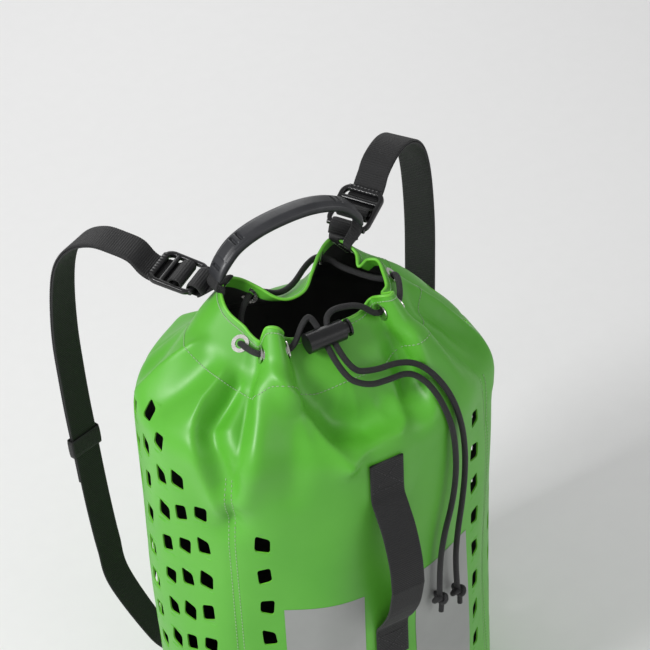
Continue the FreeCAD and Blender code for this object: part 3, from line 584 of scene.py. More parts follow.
def rounded_outline(corners):
    """A closed outline through corners whose points are rounded off."""
    points = []
    count = len(corners)
    for i in range(count):
        corner = np.array(corners[i], float)
        before = np.array(corners[i - 1], float)
        after = np.array(corners[(i + 1) % count], float)
        start = corner + (before - corner) * HOLE_ROUND
        end = corner + (after - corner) * HOLE_ROUND
        for t in (0, 0.3, 0.7, 1):
            points.append((1 - t) ** 2 * start + 2 * t * (1 - t) * corner + t ** 2 * end)
    return np.array(points)


def hole_list():
    """Every drain hole: its middle on the cloth and its outline's number."""
    columns = list(FRONT_COLUMNS)
    for middle in SIDE_MIDDLES:
        for offset, top in SIDE_COLUMNS:
            columns.append((middle + offset, top))
            if offset:
                columns.append((middle - offset, top))
    holes = []
    for number, (arc, top) in enumerate(columns):
        height = float(top)
        row = 0
        while height > LOWEST_HOLE:
            holes.append((arc, height, (number * 3 + row * 5) % len(HOLE_SHAPES)))
            height -= HOLE_PITCH
            row += 1
    return holes


CLOTH_COLUMNS = 324
CLOTH_ROWS = 196
SHELL_FOOT = 0.003
HEM_INSIDE = 0.013


def build_shell():
    """The whole tarpaulin body as one thick skin with its drain holes cut through."""
    arcs = np.arange(CLOTH_COLUMNS) * GIRTH / CLOTH_COLUMNS
    rim_height = plain_shell(arcs, np.zeros(CLOTH_COLUMNS))[1]
    levels = np.linspace(0, 1, CLOTH_ROWS + 1)
    grid_arc = np.tile(arcs, CLOTH_ROWS + 1)
    grid_height = (SHELL_FOOT + levels[:, None] * (rim_height - SHELL_FOOT)[None]).ravel()
    step = GIRTH / CLOTH_COLUMNS
    open_cells = np.zeros((CLOTH_ROWS, CLOTH_COLUMNS), bool)
    extra_arc, extra_height, extra_faces = [], [], []
    base_count = len(grid_arc)
    for arc, height, shape in hole_list():
        outline = rounded_outline(HOLE_SHAPES[shape]) * MM + np.array([arc, height]) * MM
        i0 = int(math.floor((outline[:, 0].min() - 0.0008) / step))
        i1 = int(math.ceil((outline[:, 0].max() + 0.0008) / step))
        middle = int(round(arc * MM / step)) % CLOTH_COLUMNS
        row_step = (rim_height[middle] - SHELL_FOOT) / CLOTH_ROWS
        j0 = int(math.floor((outline[:, 1].min() - SHELL_FOOT - 0.0012) / row_step))
        j1 = int(math.ceil((outline[:, 1].max() - SHELL_FOOT + 0.0012) / row_step))
        open_cells[j0:j1, np.arange(i0, i1) % CLOTH_COLUMNS] = True
        frame_ids = [(i, j0) for i in range(i0, i1)] + [(i1, j) for j in range(j0, j1)]
        frame_ids += [(i, j1) for i in range(i1, i0, -1)] + [(i0, j) for j in range(j1, j0, -1)]
        ids = [j * CLOTH_COLUMNS + i % CLOTH_COLUMNS for i, j in frame_ids]
        outer = [Vector((i * step, grid_height[k], 0)) for (i, j), k in zip(frame_ids, ids)]
        inner = [Vector((a, h, 0)) for a, h in outline]
        first = base_count + len(extra_arc)
        ids += list(range(first, first + len(inner)))
        extra_arc += [p.x for p in inner]
        extra_height += [p.y for p in inner]
        flat = outer + inner
        for tri in tessellate_polygon([outer, inner]):
            a, b, c = (flat[k] for k in tri)
            turn = (b - a).cross(c - a).z
            tri = tuple(tri) if turn > 0 else tuple(tri)[::-1]
            if abs(turn) > 1e-12:
                extra_faces.append(tuple(ids[k] for k in tri))
    faces = []
    for j in range(CLOTH_ROWS):
        for i in range(CLOTH_COLUMNS):
            if not open_cells[j, i]:
                n = (i + 1) % CLOTH_COLUMNS
                low, high = j * CLOTH_COLUMNS, (j + 1) * CLOTH_COLUMNS
                faces.append((low + i, low + n, high + n, high + i))
    faces += extra_faces
    arc = np.concatenate([grid_arc, extra_arc])
    height = np.concatenate([grid_height, extra_height])
    drop = plain_shell(arc, height)[1] - height
    return thick_skin("tarpaulin_shell", arc, height, drop, faces)


def thick_skin(name, arc, height, drop, faces):
    """An outer and an inner face a tarpaulin's thickness apart, joined round every edge."""
    outer = surface(arc, height)
    used = np.unique(np.concatenate([np.array(f) for f in faces]))
    back_to = -np.ones(len(outer), int)
    back_to[used] = np.arange(len(used))
    outer = outer[used]
    cloth = np.stack([arc, height], 1)[used] / MM
    drop = drop[used]
    faces = [tuple(int(back_to[k]) for k in f) for f in faces]
    normal = np.zeros_like(outer)
    for f in faces:
        n = np.cross(outer[f[1]] - outer[f[0]], outer[f[2]] - outer[f[0]])
        for k in f:
            normal[k] += n
    inner = outer - unit_rows(normal) * TARP
    count = len(outer)
    edges = {}
    for f in faces:
        for a, b in zip(f, f[1:] + f[:1]):
            edges[(a, b)] = True
    rim = [(a, b) for a, b in edges if (b, a) not in edges]
    all_faces = list(faces)
    kinds = [0] * len(faces)
    for f in faces:
        all_faces.append(tuple(k + count for k in f[::-1]))
        near_rim = max(drop[k] for k in f) < HEM_INSIDE
        kinds.append(0 if near_rim else 1)
    for a, b in rim:
        all_faces.append((a, a + count, b + count, b))
        kinds.append(2)
    obj = new_mesh(name, np.vstack([outer, inner]), all_faces)
    for mat in (GREEN, INSIDE, HEM):
        obj.data.materials.append(mat)
    obj.data.polygons.foreach_set("material_index", kinds)
    layer = obj.data.uv_layers.new(name="weave")
    both = np.vstack([cloth, cloth])
    order = np.zeros(len(obj.data.loops), np.int32)
    obj.data.loops.foreach_get("vertex_index", order)
    uv = both[order]
    layer.data.foreach_set("uv", uv.astype(np.float32).ravel())
    flags = np.zeros(len(obj.data.edges), bool)
    ends = np.zeros(len(obj.data.edges) * 2, np.int32)
    obj.data.edges.foreach_get("vertices", ends)
    border = set(frozenset(e) for e in rim)
    border |= set(frozenset((a + count, b + count)) for a, b in rim)
    for k, (a, b) in enumerate(ends.reshape(-1, 2)):
        flags[k] = frozenset((int(a), int(b))) in border
    sharp = obj.data.attributes.new("sharp_edge", "BOOLEAN", "EDGE")
    sharp.data.foreach_set("value", flags)
    return obj


shell = build_shell()
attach(shell, "bag")
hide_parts("front_panel", "side_panel_right", "back_panel", "side_panel_left")


def along_cloth(line, spacing):
    """Evenly spaced cloth points along a smooth line drawn in millimetres."""
    rows, marks = smooth_path([(a * MM, h * MM, 0) for a, h in line], spacing)
    return rows[:, 0], rows[:, 1], marks


def rim_bead():
    """The rounded edge of the folded hem, all round the mouth."""
    count = 460
    arcs = np.arange(count) * GIRTH / count
    rim_height = plain_shell(arcs, np.zeros(count))[1]
    middle = surface(arcs, rim_height - 0.0006, -TARP / 2)
    out = surface_normal(arcs, rim_height - 0.002)
    along = unit_rows(np.roll(middle, -1, axis=0) - np.roll(middle, 1, axis=0))
    up = unit_rows(np.cross(along, out))
    turn = np.linspace(0, 2 * math.pi, 10, endpoint=False)
    radius = 0.00155
    rings = (middle[:, None] + out[:, None] * (radius * np.cos(turn))[None, :, None]
             + up[:, None] * (radius * np.sin(turn))[None, :, None])
    marks = np.linspace(0, GIRTH, count + 1)
    around = np.linspace(0, 2 * math.pi * radius, 11)
    return tube_mesh("rim_bead", rings, marks, around, closed=True)


finish_piece(rim_bead(), HEM, "bag")

STITCH_LENGTH, STITCH_PITCH, STITCH_RADIUS = 0.0030, 0.0044, 0.00042


def stitch_mesh(name, starts, ends, normals):
    """Short threads lying on a face, each thickest in its middle."""
    verts, faces = [], []
    for a, b, n in zip(starts, ends, normals):
        along = unit_rows(b - a)
        side = np.cross(n, along)
        first = len(verts)
        for share, size in ((0.0, 0.25), (0.25, 0.95), (0.75, 0.95), (1.0, 0.25)):
            middle = a + (b - a) * share
            for turn in range(6):
                angle = turn * math.pi / 3
                verts.append(middle + (side * math.cos(angle) * 1.25
                                       + n * math.sin(angle)) * STITCH_RADIUS * size)
        for ring in range(3):
            for turn in range(6):
                low = first + ring * 6
                nxt = (turn + 1) % 6
                faces.append((low + turn, low + nxt, low + 6 + nxt, low + 6 + turn))
        faces.append(tuple(first + k for k in range(6))[::-1])
        faces.append(tuple(first + 18 + k for k in range(6)))
    obj = new_mesh(name, verts, faces)
    layer = obj.data.uv_layers.new(name="weave")
    spots = np.array([obj.data.vertices[l.vertex_index].co for l in obj.data.loops]) / MM
    layer.data.foreach_set("uv", spots[:, :2].astype(np.float32).ravel())
    return obj


def sewn_lines(name, lines, material, off=0.00015):
    """Rows of stitches along lines drawn on the cloth."""
    starts, ends, normals = [], [], []
    for line in lines:
        arcs, heights, marks = along_cloth(line, STITCH_PITCH)
        points = surface(arcs, heights, off)
        out = surface_normal(arcs, heights)
        run = unit_rows(np.gradient(points, axis=0))
        starts.append(points - run * STITCH_LENGTH / 2)
        ends.append(points + run * STITCH_LENGTH / 2)
        normals.append(out)
    obj = stitch_mesh(name, np.vstack(starts), np.vstack(ends), np.vstack(normals))
    return finish_piece(obj, material, "bag")


def hem_line(drop, points):
    """A line at one distance below the rim, all the way round."""
    arcs = np.linspace(0, GIRTH, points, endpoint=False)
    tall = plain_shell(arcs, np.zeros(points))[1]
    return list(zip(arcs / MM, (tall - drop) / MM))


HEM_DROP, RIM_STITCH_DROP = 0.054, 0.0058
sewn_lines("hem_stitching", [hem_line(HEM_DROP, 120)], THREAD)
sewn_lines("rim_stitching", [hem_line(RIM_STITCH_DROP, 160)], THREAD)

# ---------------- patches that lie on the cloth


def cloth_patch(name, arcs, heights, off, thickness, rounding=0.004):
    """A thin patch that follows the cloth, with rounded corners."""
    rows, columns = 28, 28
    width, tall = arcs[1] - arcs[0], heights[1] - heights[0]
    u, v = np.meshgrid(np.linspace(-1, 1, columns), np.linspace(-1, 1, rows))
    # the corner points are pulled inwards
    pull = 1 - rounding / max(width, tall) * (np.abs(u) ** 12 * np.abs(v) ** 12)
    a = arcs[0] + width * (0.5 + 0.5 * u * pull)
    h = heights[0] + tall * (0.5 + 0.5 * v * pull)
    a, h = a.ravel() * MM, h.ravel() * MM
    normal = surface_normal(a, h)
    base = surface(a, h)
    low = base + normal * off
    high = base + normal * (off + thickness)
    count = rows * columns
    faces = []
    for j in range(rows - 1):
        for i in range(columns - 1):
            k = j * columns + i
            faces.append((k, k + 1, k + columns + 1, k + columns))
            faces.append((k + count + columns, k + count + columns + 1, k + count + 1,
                          k + count))
    edge = list(range(columns)) + [j * columns + columns - 1 for j in range(1, rows)]
    edge += [(rows - 1) * columns + i for i in range(columns - 2, -1, -1)]
    edge += [j * columns for j in range(rows - 2, 0, -1)]
    for k, n in zip(edge, edge[1:] + edge[:1]):
        faces.append((k + count, n + count, n, k))
    obj = new_mesh(name, np.vstack([high, low]), faces)
    uv = np.vstack([np.stack([a, h], 1)] * 2) / MM
    order = np.zeros(len(obj.data.loops), np.int32)
    obj.data.loops.foreach_get("vertex_index", order)
    layer = obj.data.uv_layers.new(name="weave")
    layer.data.foreach_set("uv", uv[order].astype(np.float32).ravel())
    obj.data.set_sharp_from_angle(angle=math.radians(40))
    return obj


def box_lines(arcs, heights, inset, cross=False):
    """A sewn rectangle just inside an edge, with its diagonals if asked."""
    a0, a1 = arcs[0] + inset, arcs[1] - inset
    h0, h1 = heights[0] + inset, heights[1] - inset
    lines = [[(a0, h0), (a1, h0)], [(a1, h0), (a1, h1)], [(a1, h1), (a0, h1)],
             [(a0, h1), (a0, h0)]]
    if cross:
        lines += [[(a0, h0), (a1, h1)], [(a0, h1), (a1, h0)]]
    return lines


PRINT_ANGLES = {"left": (-125.0, -99.0), "right": (-81.0, -55.0)}
for side, (first, last) in PRINT_ANGLES.items():
    arcs = (arc_of(first) / MM, arc_of(last) / MM)
    piece = cloth_patch("print_area_" + side, arcs, (70, 292), 0.0001, 0.0003)
    finish_piece(piece, PRINT, "bag")
    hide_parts("front_print_" + side)

LOWER = (155.0, 124.0, 72.0)
PATCH_HALF, PATCH_TALL = 29.0, (19.0, 57.0)


def foot_angle(sign):
    """The angle on the wall that faces a strap's lower end."""
    return math.degrees(math.atan2(LOWER[1] * MM / HALF_DEPTH,
                                   sign * LOWER[0] * MM / HALF_WIDTH))


for side, sign in (("left", -1), ("right", 1)):
    middle = arc_of(foot_angle(sign)) / MM
    arcs = (middle - PATCH_HALF, middle + PATCH_HALF)
    piece = cloth_patch("corner_patch_" + side, arcs, PATCH_TALL, 0.0002, 0.0020)
    finish_piece(piece, GREEN, "bag")
    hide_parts("anchor_patch_" + side)
    sewn_lines("corner_stitching_" + side, box_lines(arcs, PATCH_TALL, 4.0), THREAD, 0.0023)

SEAM_ARCS, SEAM_STITCH_GAP, SEAM_HEIGHTS = (0, 306, 496, 802), 3.2, (22, 200, 400, 455)
seam_lines = [[(seam + beside, height) for height in SEAM_HEIGHTS]
              for seam in SEAM_ARCS for beside in (-SEAM_STITCH_GAP, SEAM_STITCH_GAP)]
sewn_lines("seam_stitching", seam_lines, THREAD)

# ---------------- shoulder straps

WEB_WIDTH, WEB_THICKNESS, TAB_WIDTH = 0.034, 0.002, 0.032
# Distance out from the ladder lock, height for the left strap and the right one, how far
# the point has moved over to its lower anchor, and how far the band has twisted.
STRAP_PATH = [(27, 7, 14, 0.0, 0.0), (45, 12, 23, 0.0, 0.0), (63, 16, 29, 0.0, 0.1),
              (82, 17, 28, 0.0, 0.2), (101, 9, 18, 0.0, 0.35), (116, -7, 0, 0.0, 0.5),
              (126, -31, -26, 0.0, 0.65), (132, -69, -62, 0.0, 0.8),
              (135, -119, -110, 0.0, 1.0), (134, -168, -160, 0.0, 1.0),
              (132, -214, -206, 0.0, 1.0), (129, -258, -254, 0.0, 1.0),
              (126, -304, -302, 0.0, 1.0), (122, -350, -350, 0.03, 1.0),
              (116, -394, -396, 0.12, 1.0), (106, -432, -434, 0.34, 1.0),
              (93, -464, -468, 0.66, 1.0), (78, -490, -496, 1.0, 1.0)]
STRAPS = {
    "left": {"side": -1, "lock": (-99, 69, 585), "turn": 35.0, "hang": 17.0, "tilt": 8.0,
             "height": 1},
    "right": {"side": 1, "lock": (92, 70, 580), "turn": 58.0, "hang": 48.0, "tilt": 20.0,
              "height": 2},
}
KEEPER_INDEX, TAIL_LAST = 11, 12
TAIL_LIFT = 0.0024
ANCHOR_TURN = 36.0


def strap_frames(side_name):
    """Centre points and width directions of one shoulder strap, in metres."""
    data = STRAPS[side_name]
    side = data["side"]
    lock = np.array(data["lock"], float)
    turn = math.radians(data["turn"])
    out = np.array([side * math.sin(turn), math.cos(turn), 0])
    lower = np.array([side * LOWER[0], *LOWER[1:]])
    end = lock + out * STRAP_PATH[-1][0]
    end[2] = lock[2] + STRAP_PATH[-1][data["height"]]
    drift = lower - end
    centres, widths = [], []
    for row in STRAP_PATH:
        distance, z, share, twist = row[0], row[data["height"]], row[3], row[4]
        centres.append(lock + out * distance + [0, 0, z] + drift * share)
        hanging = data["turn"] * (1 - twist) + data["hang"] * twist
        angle = math.radians(hanging * (1 - share) + ANCHOR_TURN * share)
        widths.append((math.cos(angle), -side * math.sin(angle), 0))
    return np.array(centres) * MM, np.array(widths), out


def outer_side(centres, widths, side):
    return unit_rows(np.cross(np.gradient(centres, axis=0), widths)) * side


# The webbing's way through a ladder lock, as length and height in the lock's own frame: in
# from the strap, down through the far window, round the middle bar and out as the tail.
THREADED_IN = [(34, -3.2), (26, -6.6), (17, -7.2), (8, -7.4), (0, -7.0), (-6, -5.6)]
THREADED_OUT = [(-9.6, -1.2), (-8.2, 3.4), (-4, 5.0), (0.6, 3.4), (4.4, -1.6), (9.5, -4.3),
                (15, -3.3), (21, -4.5), (27, -3.9), (34, -0.8)]


def lock_axes(side_name, out):
    """The ladder lock's middle, and its length, width and height directions."""
    data = STRAPS[side_name]
    across = np.array([out[1], -out[0], 0])
    tilt = math.radians(data["tilt"])
    along = out * math.cos(tilt) + np.array([0, 0, math.sin(tilt)])
    up = np.cross(across, along)
    return np.array(data["lock"], float) * MM, along, np.cross(up, along), up


def from_lock(axes, pairs, y=0.0):
    place, along, across, up = axes
    return np.array([place + (along * x + up * z + across * y) * MM for x, z in pairs])


def superellipse_ring(half_wide, half_tall, power, count):
    turn = np.linspace(0, 2 * math.pi, count, endpoint=False)
    c, s = np.cos(turn), np.sin(turn)
    return np.stack([half_wide * np.sign(c) * np.abs(c) ** (2 / power),
                     half_tall * np.sign(s) * np.abs(s) ** (2 / power)], 1)


def bar_rings(start, end, rings, shape):
    """Rings of a straight bar whose section changes along it."""
    start, end = np.array(start, float), np.array(end, float)
    along = unit_rows((end - start)[None])[0]
    up = np.array([0.0, 0.0, 1.0])
    side = np.cross(up, along)
    result = []
    for share in rings:
        section = shape(share)
        middle = start + (end - start) * share
        result.append(middle + side * section[:, :1] + up * section[:, 1:])
    return np.array(result)


def add_rings(bm, rings, closed=False):
    """A capped or closed tube of rings, added to a mesh being built."""
    made = [[bm.verts.new(p) for p in ring] for ring in rings]
    count = len(made)
    for i in range(count if closed else count - 1):
        a, b = made[i], made[(i + 1) % count]
        for k in range(len(a)):
            n = (k + 1) % len(a)
            bm.faces.new((a[k], a[n], b[n], b[k]))
    if not closed:
        bm.faces.new(made[0][::-1])
        bm.faces.new(made[-1])


def frame_outline(half_long, half_wide, corner, count=12):
    """A rounded rectangle's outline with its outward directions."""
    points, outs = [], []
    for cx, cy, start in ((1, 1, 0), (-1, 1, 90), (-1, -1, 180), (1, -1, 270)):
        for t in np.linspace(0, 90, count):
            a = math.radians(start + t)
            d = np.array([math.cos(a), math.sin(a)])
            points.append(np.array([cx * (half_long - corner), cy * (half_wide - corner)])
                          + d * corner)
            outs.append(d)
    return np.array(points), np.array(outs)


# The ladder lock's rail line, and where its bars cross, in millimetres.
LOCK_HALF_LONG, LOCK_HALF_WIDE, LOCK_CORNER = 21.4, 20.6, 8.0
BACK_BAR, WRAP_BAR, MIDDLE_BAR, FRONT_BAR, BAR_REACH = -21.0, -4.0, 9.5, 21.0, 20
VOXEL = 0.45


def remeshed(name, bm, voxel, smoothing):
    """One closed skin round everything in a mesh, in millimetres, softened a little."""
    mesh = bpy.data.meshes.new(name + "_raw")
    bmesh.ops.recalc_face_normals(bm, faces=bm.faces)
    bm.to_mesh(mesh)
    bm.free()
    raw = bpy.data.objects.new(name + "_raw", mesh)
    bpy.context.scene.collection.objects.link(raw)
    joined = raw.modifiers.new("join", "REMESH")
    joined.mode = "VOXEL"
    joined.voxel_size = voxel
    soft = raw.modifiers.new("soften", "SMOOTH")
    soft.factor = 0.5
    soft.iterations = smoothing
    graph = bpy.context.evaluated_depsgraph_get()
    final = bpy.data.meshes.new_from_object(raw.evaluated_get(graph))
    bpy.data.objects.remove(raw)
    final.name = name
    obj = bpy.data.objects.new(name, final)
    bpy.context.scene.collection.objects.link(obj)
    final.polygons.foreach_set("use_smooth", [True] * len(final.polygons))
    return obj


def lock_mesh(name):
    """A moulded ladder lock in its own frame: side rails, gripping bars and a back bar."""
    bm = bmesh.new()
    line, outs = frame_outline(LOCK_HALF_LONG, LOCK_HALF_WIDE, LOCK_CORNER)
    rings = []
    for (x, y), (dx, dy) in zip(line, outs):
        front = np.clip(x / LOCK_HALF_LONG, 0, 1)
        back = np.clip(-x / LOCK_HALF_LONG, 0, 1)
        tall = 2.9 + 0.5 * front - 0.2 * back
        section = superellipse_ring(2.3 + 0.5 * front, tall, 2.8, 18)
        rings.append([(x + dx * s, y + dy * s, z) for s, z in section])
    add_rings(bm, np.array(rings), closed=True)

    def ribbed(share):
        swell = 0.28 * math.cos(2 * math.pi * share * 15)
        return superellipse_ring(2.6 + swell, 2.1 + swell, 2.6, 18)

    def plump(share):
        edge = 1 - 0.25 * abs(2 * share - 1) ** 6
        return superellipse_ring(3.6, 3.3 * edge, 2.6, 18)

    def round_bar(radius, power):
        return lambda share: superellipse_ring(radius, radius, power, 18)

    shares = np.linspace(0, 1, 91)
    for x, z, reach, shape in ((WRAP_BAR, 0, BAR_REACH, ribbed),
                               (MIDDLE_BAR, 0.4, BAR_REACH, round_bar(2.5, 2.4)),
                               (FRONT_BAR, 0.2, 17, plump),
                               (BACK_BAR, 0, BAR_REACH, round_bar(2.7, 2.0))):
        add_rings(bm, bar_rings((x, -reach, z), (x, reach, z), shares, shape))
    for y in np.linspace(-14, 14, 8):
        add_rings(bm, bar_rings((FRONT_BAR, y - 0.7, 3.2), (FRONT_BAR, y + 0.7, 3.2), (0, 1),
                                lambda share: superellipse_ring(2.4, 0.5, 2.0, 12)))
    return remeshed(name, bm, VOXEL, 3)


def to_place(obj, axes):
    """A mesh made in millimetres in a lock's frame, moved to its place in metres."""
    place, along, across, up = axes
    count = len(obj.data.vertices)
    local = np.zeros(count * 3)
    obj.data.vertices.foreach_get("co", local)
    local = local.reshape(-1, 3) * MM
    world_points = place + local @ np.array([along, across, up])
    obj.data.vertices.foreach_set("co", world_points.ravel())
    obj.data.update()
    return obj


LANES = 13


def corner_rows(angle, drops, sunk, width_hint, half_width):
    """Rows of points across a webbing end that follow the inside of the gathered corner."""
    lanes = np.linspace(-half_width, half_width, LANES)
    middle = np.full(1, arc_of(angle))
    tall = plain_shell(middle, np.zeros(1))[1] - 0.02
    step = surface(middle + 0.004, tall) - surface(middle - 0.004, tall)
    if step[0] @ width_hint < 0:
        lanes = -lanes
    rows, outs = [], []
    for drop in drops:
        arc = middle + lanes
        height = plain_shell(arc, np.zeros(LANES))[1] - drop
        out = surface_normal(arc, height - max(0.003 - drop, 0))
        rows.append(surface(arc, height) - out * (TARP + sunk))
        outs.append(out)
    return np.array(rows), np.array(outs)


def draped_band(name, rows, thickness):
    """Ribbed webbing through rows of points across it, so that it can follow folded cloth."""
    rows = np.array(rows)
    columns = np.concatenate([rows[:, LANES // 2], rows.reshape(len(rows), -1)], 1)
    path, marks = smooth_path(columns, BAND_SPACING)
    grid = path[:, 3:].reshape(len(path), LANES, 3)
    along = np.gradient(grid, axis=0)
    across = np.gradient(grid, axis=1)
    normal = unit_rows(np.cross(along, across))
    swell = RIB_DEPTH * np.cos(2 * math.pi * marks / RIB_PITCH)[:, None, None]
    edge = np.ones((1, LANES, 1))
    edge[0, 0] = edge[0, -1] = 0.55
    half = thickness / 2 * edge + swell * (edge == 1)
    rings = np.concatenate([grid - normal * half, (grid + normal * half)[:, ::-1]], 1)
    step = np.linalg.norm(rings[0] - np.roll(rings[0], -1, axis=0), axis=1)
    return tube_mesh(name, rings, marks, np.concatenate([[0], np.cumsum(step)]))


def straight_rows(centres, across, half_width):
    lanes = np.linspace(-half_width, half_width, LANES)[None, :, None]
    return np.array(centres)[:, None] + np.array(across)[None, None] * lanes


def corner_stitches(name, rows, outs, proud):
    """Sewn lines across and along the inner face of a webbing end."""
    starts, ends, normals = [], [], []
    face = rows - outs * proud
    for path, normal in ((face[:, 1], outs[0, 1]), (face[:, -2], outs[0, -2]),
                         (face[0, 1:-1], outs[0, LANES // 2]),
                         (face[-1, 1:-1], outs[-1, LANES // 2])):
        fine, marks = smooth_path(path, STITCH_PITCH)
        run = unit_rows(np.gradient(fine, axis=0))
        starts.append(fine - run * STITCH_LENGTH / 2)
        ends.append(fine + run * STITCH_LENGTH / 2)
        normals.append(np.tile(-normal, (len(fine), 1)))
    stitches = stitch_mesh(name, np.vstack(starts), np.vstack(ends), np.vstack(normals))
    finish_piece(stitches, THREAD, "bag")


TAB_ANGLES = {"left": 154.0, "right": 34.0}
SEWN_SUNK, CREST_RISE, CREST_SUNK = 0.0012, 0.0028, -0.0008


def tab_piece(side_name, axes, across):
    """The webbing tab: sewn inside the gathered corner, out over the rim, round the lock's
    back bar and back on itself."""
    half = 0.0145
    angle = TAB_ANGLES[side_name]
    sewn, outs = corner_rows(angle, (0.036, 0.028, 0.020, 0.012, 0.004), SEWN_SUNK,
                              across, half)
    crest = corner_rows(angle, (-CREST_RISE,), CREST_SUNK, across, half)[0]
    loop = from_lock(axes, [(-30.0, -4.2), (-26.5, -4.9), (-21.5, -5.0), (-16.8, -3.0),
                            (-15.6, 0.6), (-17.6, 3.9), (-21.5, 5.0), (-26.5, 3.6),
                            (-30.0, 0.0), (-32.0, -1.9)])
    rows = np.concatenate([sewn, crest, straight_rows(loop, across, half)])
    piece = draped_band("tab_" + side_name, rows, WEB_THICKNESS * 0.9)
    finish_piece(piece, WEBBING)
    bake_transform(piece)
    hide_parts("buckle_tab_" + side_name, "strap_tab_root_" + side_name)
    corner_stitches("tab_stitching_" + side_name, sewn, outs, 0.0013)


def keeper_piece(side_name, centres, widths):
    """An elastic loop, round both layers of the strap."""
    side = STRAPS[side_name]["side"]
    slope = unit_rows((centres[KEEPER_INDEX + 1] - centres[KEEPER_INDEX - 1])[None])[0]
    across = widths[KEEPER_INDEX]
    out = unit_rows(np.cross(slope, across)[None])[0] * side
    middle = centres[KEEPER_INDEX] + out * (TAIL_LIFT / 2)
    line, outs = frame_outline(WEB_WIDTH / 2 + 0.0014, WEB_THICKNESS / 2 + TAIL_LIFT / 2
                               + 0.0014, 0.0016, 8)
    rings = []
    for (x, y), (dx, dy) in zip(line, outs):
        ring = []
        for across_height, thick in ((-0.0107, -0.0003), (-0.011, 0), (-0.0107, 0.0005),
                                     (-0.006, 0.0009), (0, 0.0010), (0.006, 0.0009),
                                     (0.0107, 0.0005), (0.011, 0), (0.0107, -0.0003),
                                     (0.006, -0.0006), (0, -0.0006), (-0.006, -0.0006)):
            place = middle + across * (x + dx * thick) + out * (y + dy * thick)
            ring.append(place + slope * across_height)
        rings.append(ring)
    rings = np.array(rings)
    marks = np.linspace(0, 0.086, len(rings) + 1)
    piece = tube_mesh("elastic_keeper_" + side_name, rings, marks,
                      np.linspace(0, 0.048, 13), closed=True)
    finish_piece(piece, ELASTIC, "keeper_" + side_name)
    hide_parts("keeper_" + side_name)


FOOT_STANDOFF, FOOT_HEIGHTS = 0.0046, (0.052, 0.038, 0.022)
TOUCH_OUT, TOUCH_HEIGHT, TOUCH_SHARE = 0.003, 0.068, 0.55


def upper_strap(side_name, centres, widths, axes):
    """The band from the keeper through the lock, and back along itself as the tail."""
    side = STRAPS[side_name]["side"]
    tail = centres + outer_side(centres, widths, side) * TAIL_LIFT
    threaded = from_lock(axes, THREADED_IN + THREADED_OUT)
    path = np.vstack([centres[KEEPER_INDEX:0:-1], threaded, tail[1:TAIL_LAST + 1]])
    across = np.vstack([widths[KEEPER_INDEX:0:-1], np.tile(widths[0], (len(threaded), 1)),
                        widths[1:TAIL_LAST + 1]])
    piece = band("strap_upper_" + side_name, path, across, TAB_WIDTH, WEB_THICKNESS)
    finish_piece(piece, WEBBING)
    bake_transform(piece)
    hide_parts("strap_" + side_name, "strap_tail_" + side_name,
                "buckle_webbing_" + side_name)


def lower_strap(side_name, centres, widths):
    """The band from the keeper down to its sewn foot on the corner patch."""
    angle = foot_angle(STRAPS[side_name]["side"])
    foot = np.array([HALF_WIDTH * math.cos(math.radians(angle)),
                     HALF_DEPTH * math.sin(math.radians(angle)), 0])
    outward = unit_rows(np.array([[foot[0] / HALF_WIDTH ** 2, foot[1] / HALF_DEPTH ** 2,
                                   0]]))[0]
    flat = np.array([outward[1], -outward[0], 0])
    root = foot + outward * FOOT_STANDOFF
    touch = root + outward * TOUCH_OUT + [0, 0, TOUCH_HEIGHT]
    lead = centres[-2] * (1 - TOUCH_SHARE) + touch * TOUCH_SHARE
    path = np.vstack([centres[KEEPER_INDEX:-2], lead, touch]
                     + [root + [0, 0, height] for height in FOOT_HEIGHTS])
    across = np.vstack([widths[KEEPER_INDEX:-2], [widths[-1]], [flat] * 4])
    piece = band("strap_lower_" + side_name, path, across, TAB_WIDTH, WEB_THICKNESS)
    finish_piece(piece, WEBBING)
    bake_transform(piece)
    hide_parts("strap_anchor_" + side_name)
    middle = arc_of(angle) / MM
    sewn_lines("strap_foot_stitching_" + side_name,
               box_lines((middle - 13, middle + 13), (24, 48), 0, True), DARK_THREAD, 0.0058)


for side_name in STRAPS:
    centres, widths, out = strap_frames(side_name)
    axes = lock_axes(side_name, out)
    upper_strap(side_name, centres, widths, axes)
    lower_strap(side_name, centres, widths)
    lock_obj = to_place(lock_mesh("ladder_lock_" + side_name), axes)
    finish_piece(lock_obj, PLASTIC, "buckle_" + side_name)
    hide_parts("buckle_" + side_name)
    tab_piece(side_name, axes, widths[0])
    keeper_piece(side_name, centres, widths)

# ---------------- front handle

FRONT_BULGE = [(0.0, 0.0), (0.06, 4.5), (0.18, 15.0), (0.36, 25.0), (0.54, 28.0),
               (0.74, 20.0), (0.90, 7.0), (1.0, 0.0)]
FRONT_TOP, FRONT_BOTTOM = 458.0, 196.0
FRONT_PATCH = 46.0
web_top, web_bottom = FRONT_TOP - FRONT_PATCH - 1, FRONT_BOTTOM + FRONT_PATCH + 1
front_line = [(0, -HALF_DEPTH / MM - 1.6, z) for z in (FRONT_TOP, 446, 433, 421)]
for share, bulge in FRONT_BULGE:
    height = web_top + (web_bottom - web_top) * share
    edge = min(share, 1 - share)
    front_line.append((0, -HALF_DEPTH / MM - 3.2 - 4.0 * min(edge / 0.1, 1) - bulge, height))
front_line += [(0, -HALF_DEPTH / MM - 1.6, z) for z in (233, 221, 208, FRONT_BOTTOM)]
front_line = np.array(front_line) * MM
FRONT_SPLIT = 8
across = np.tile([1.0, 0, 0], (len(front_line), 1))
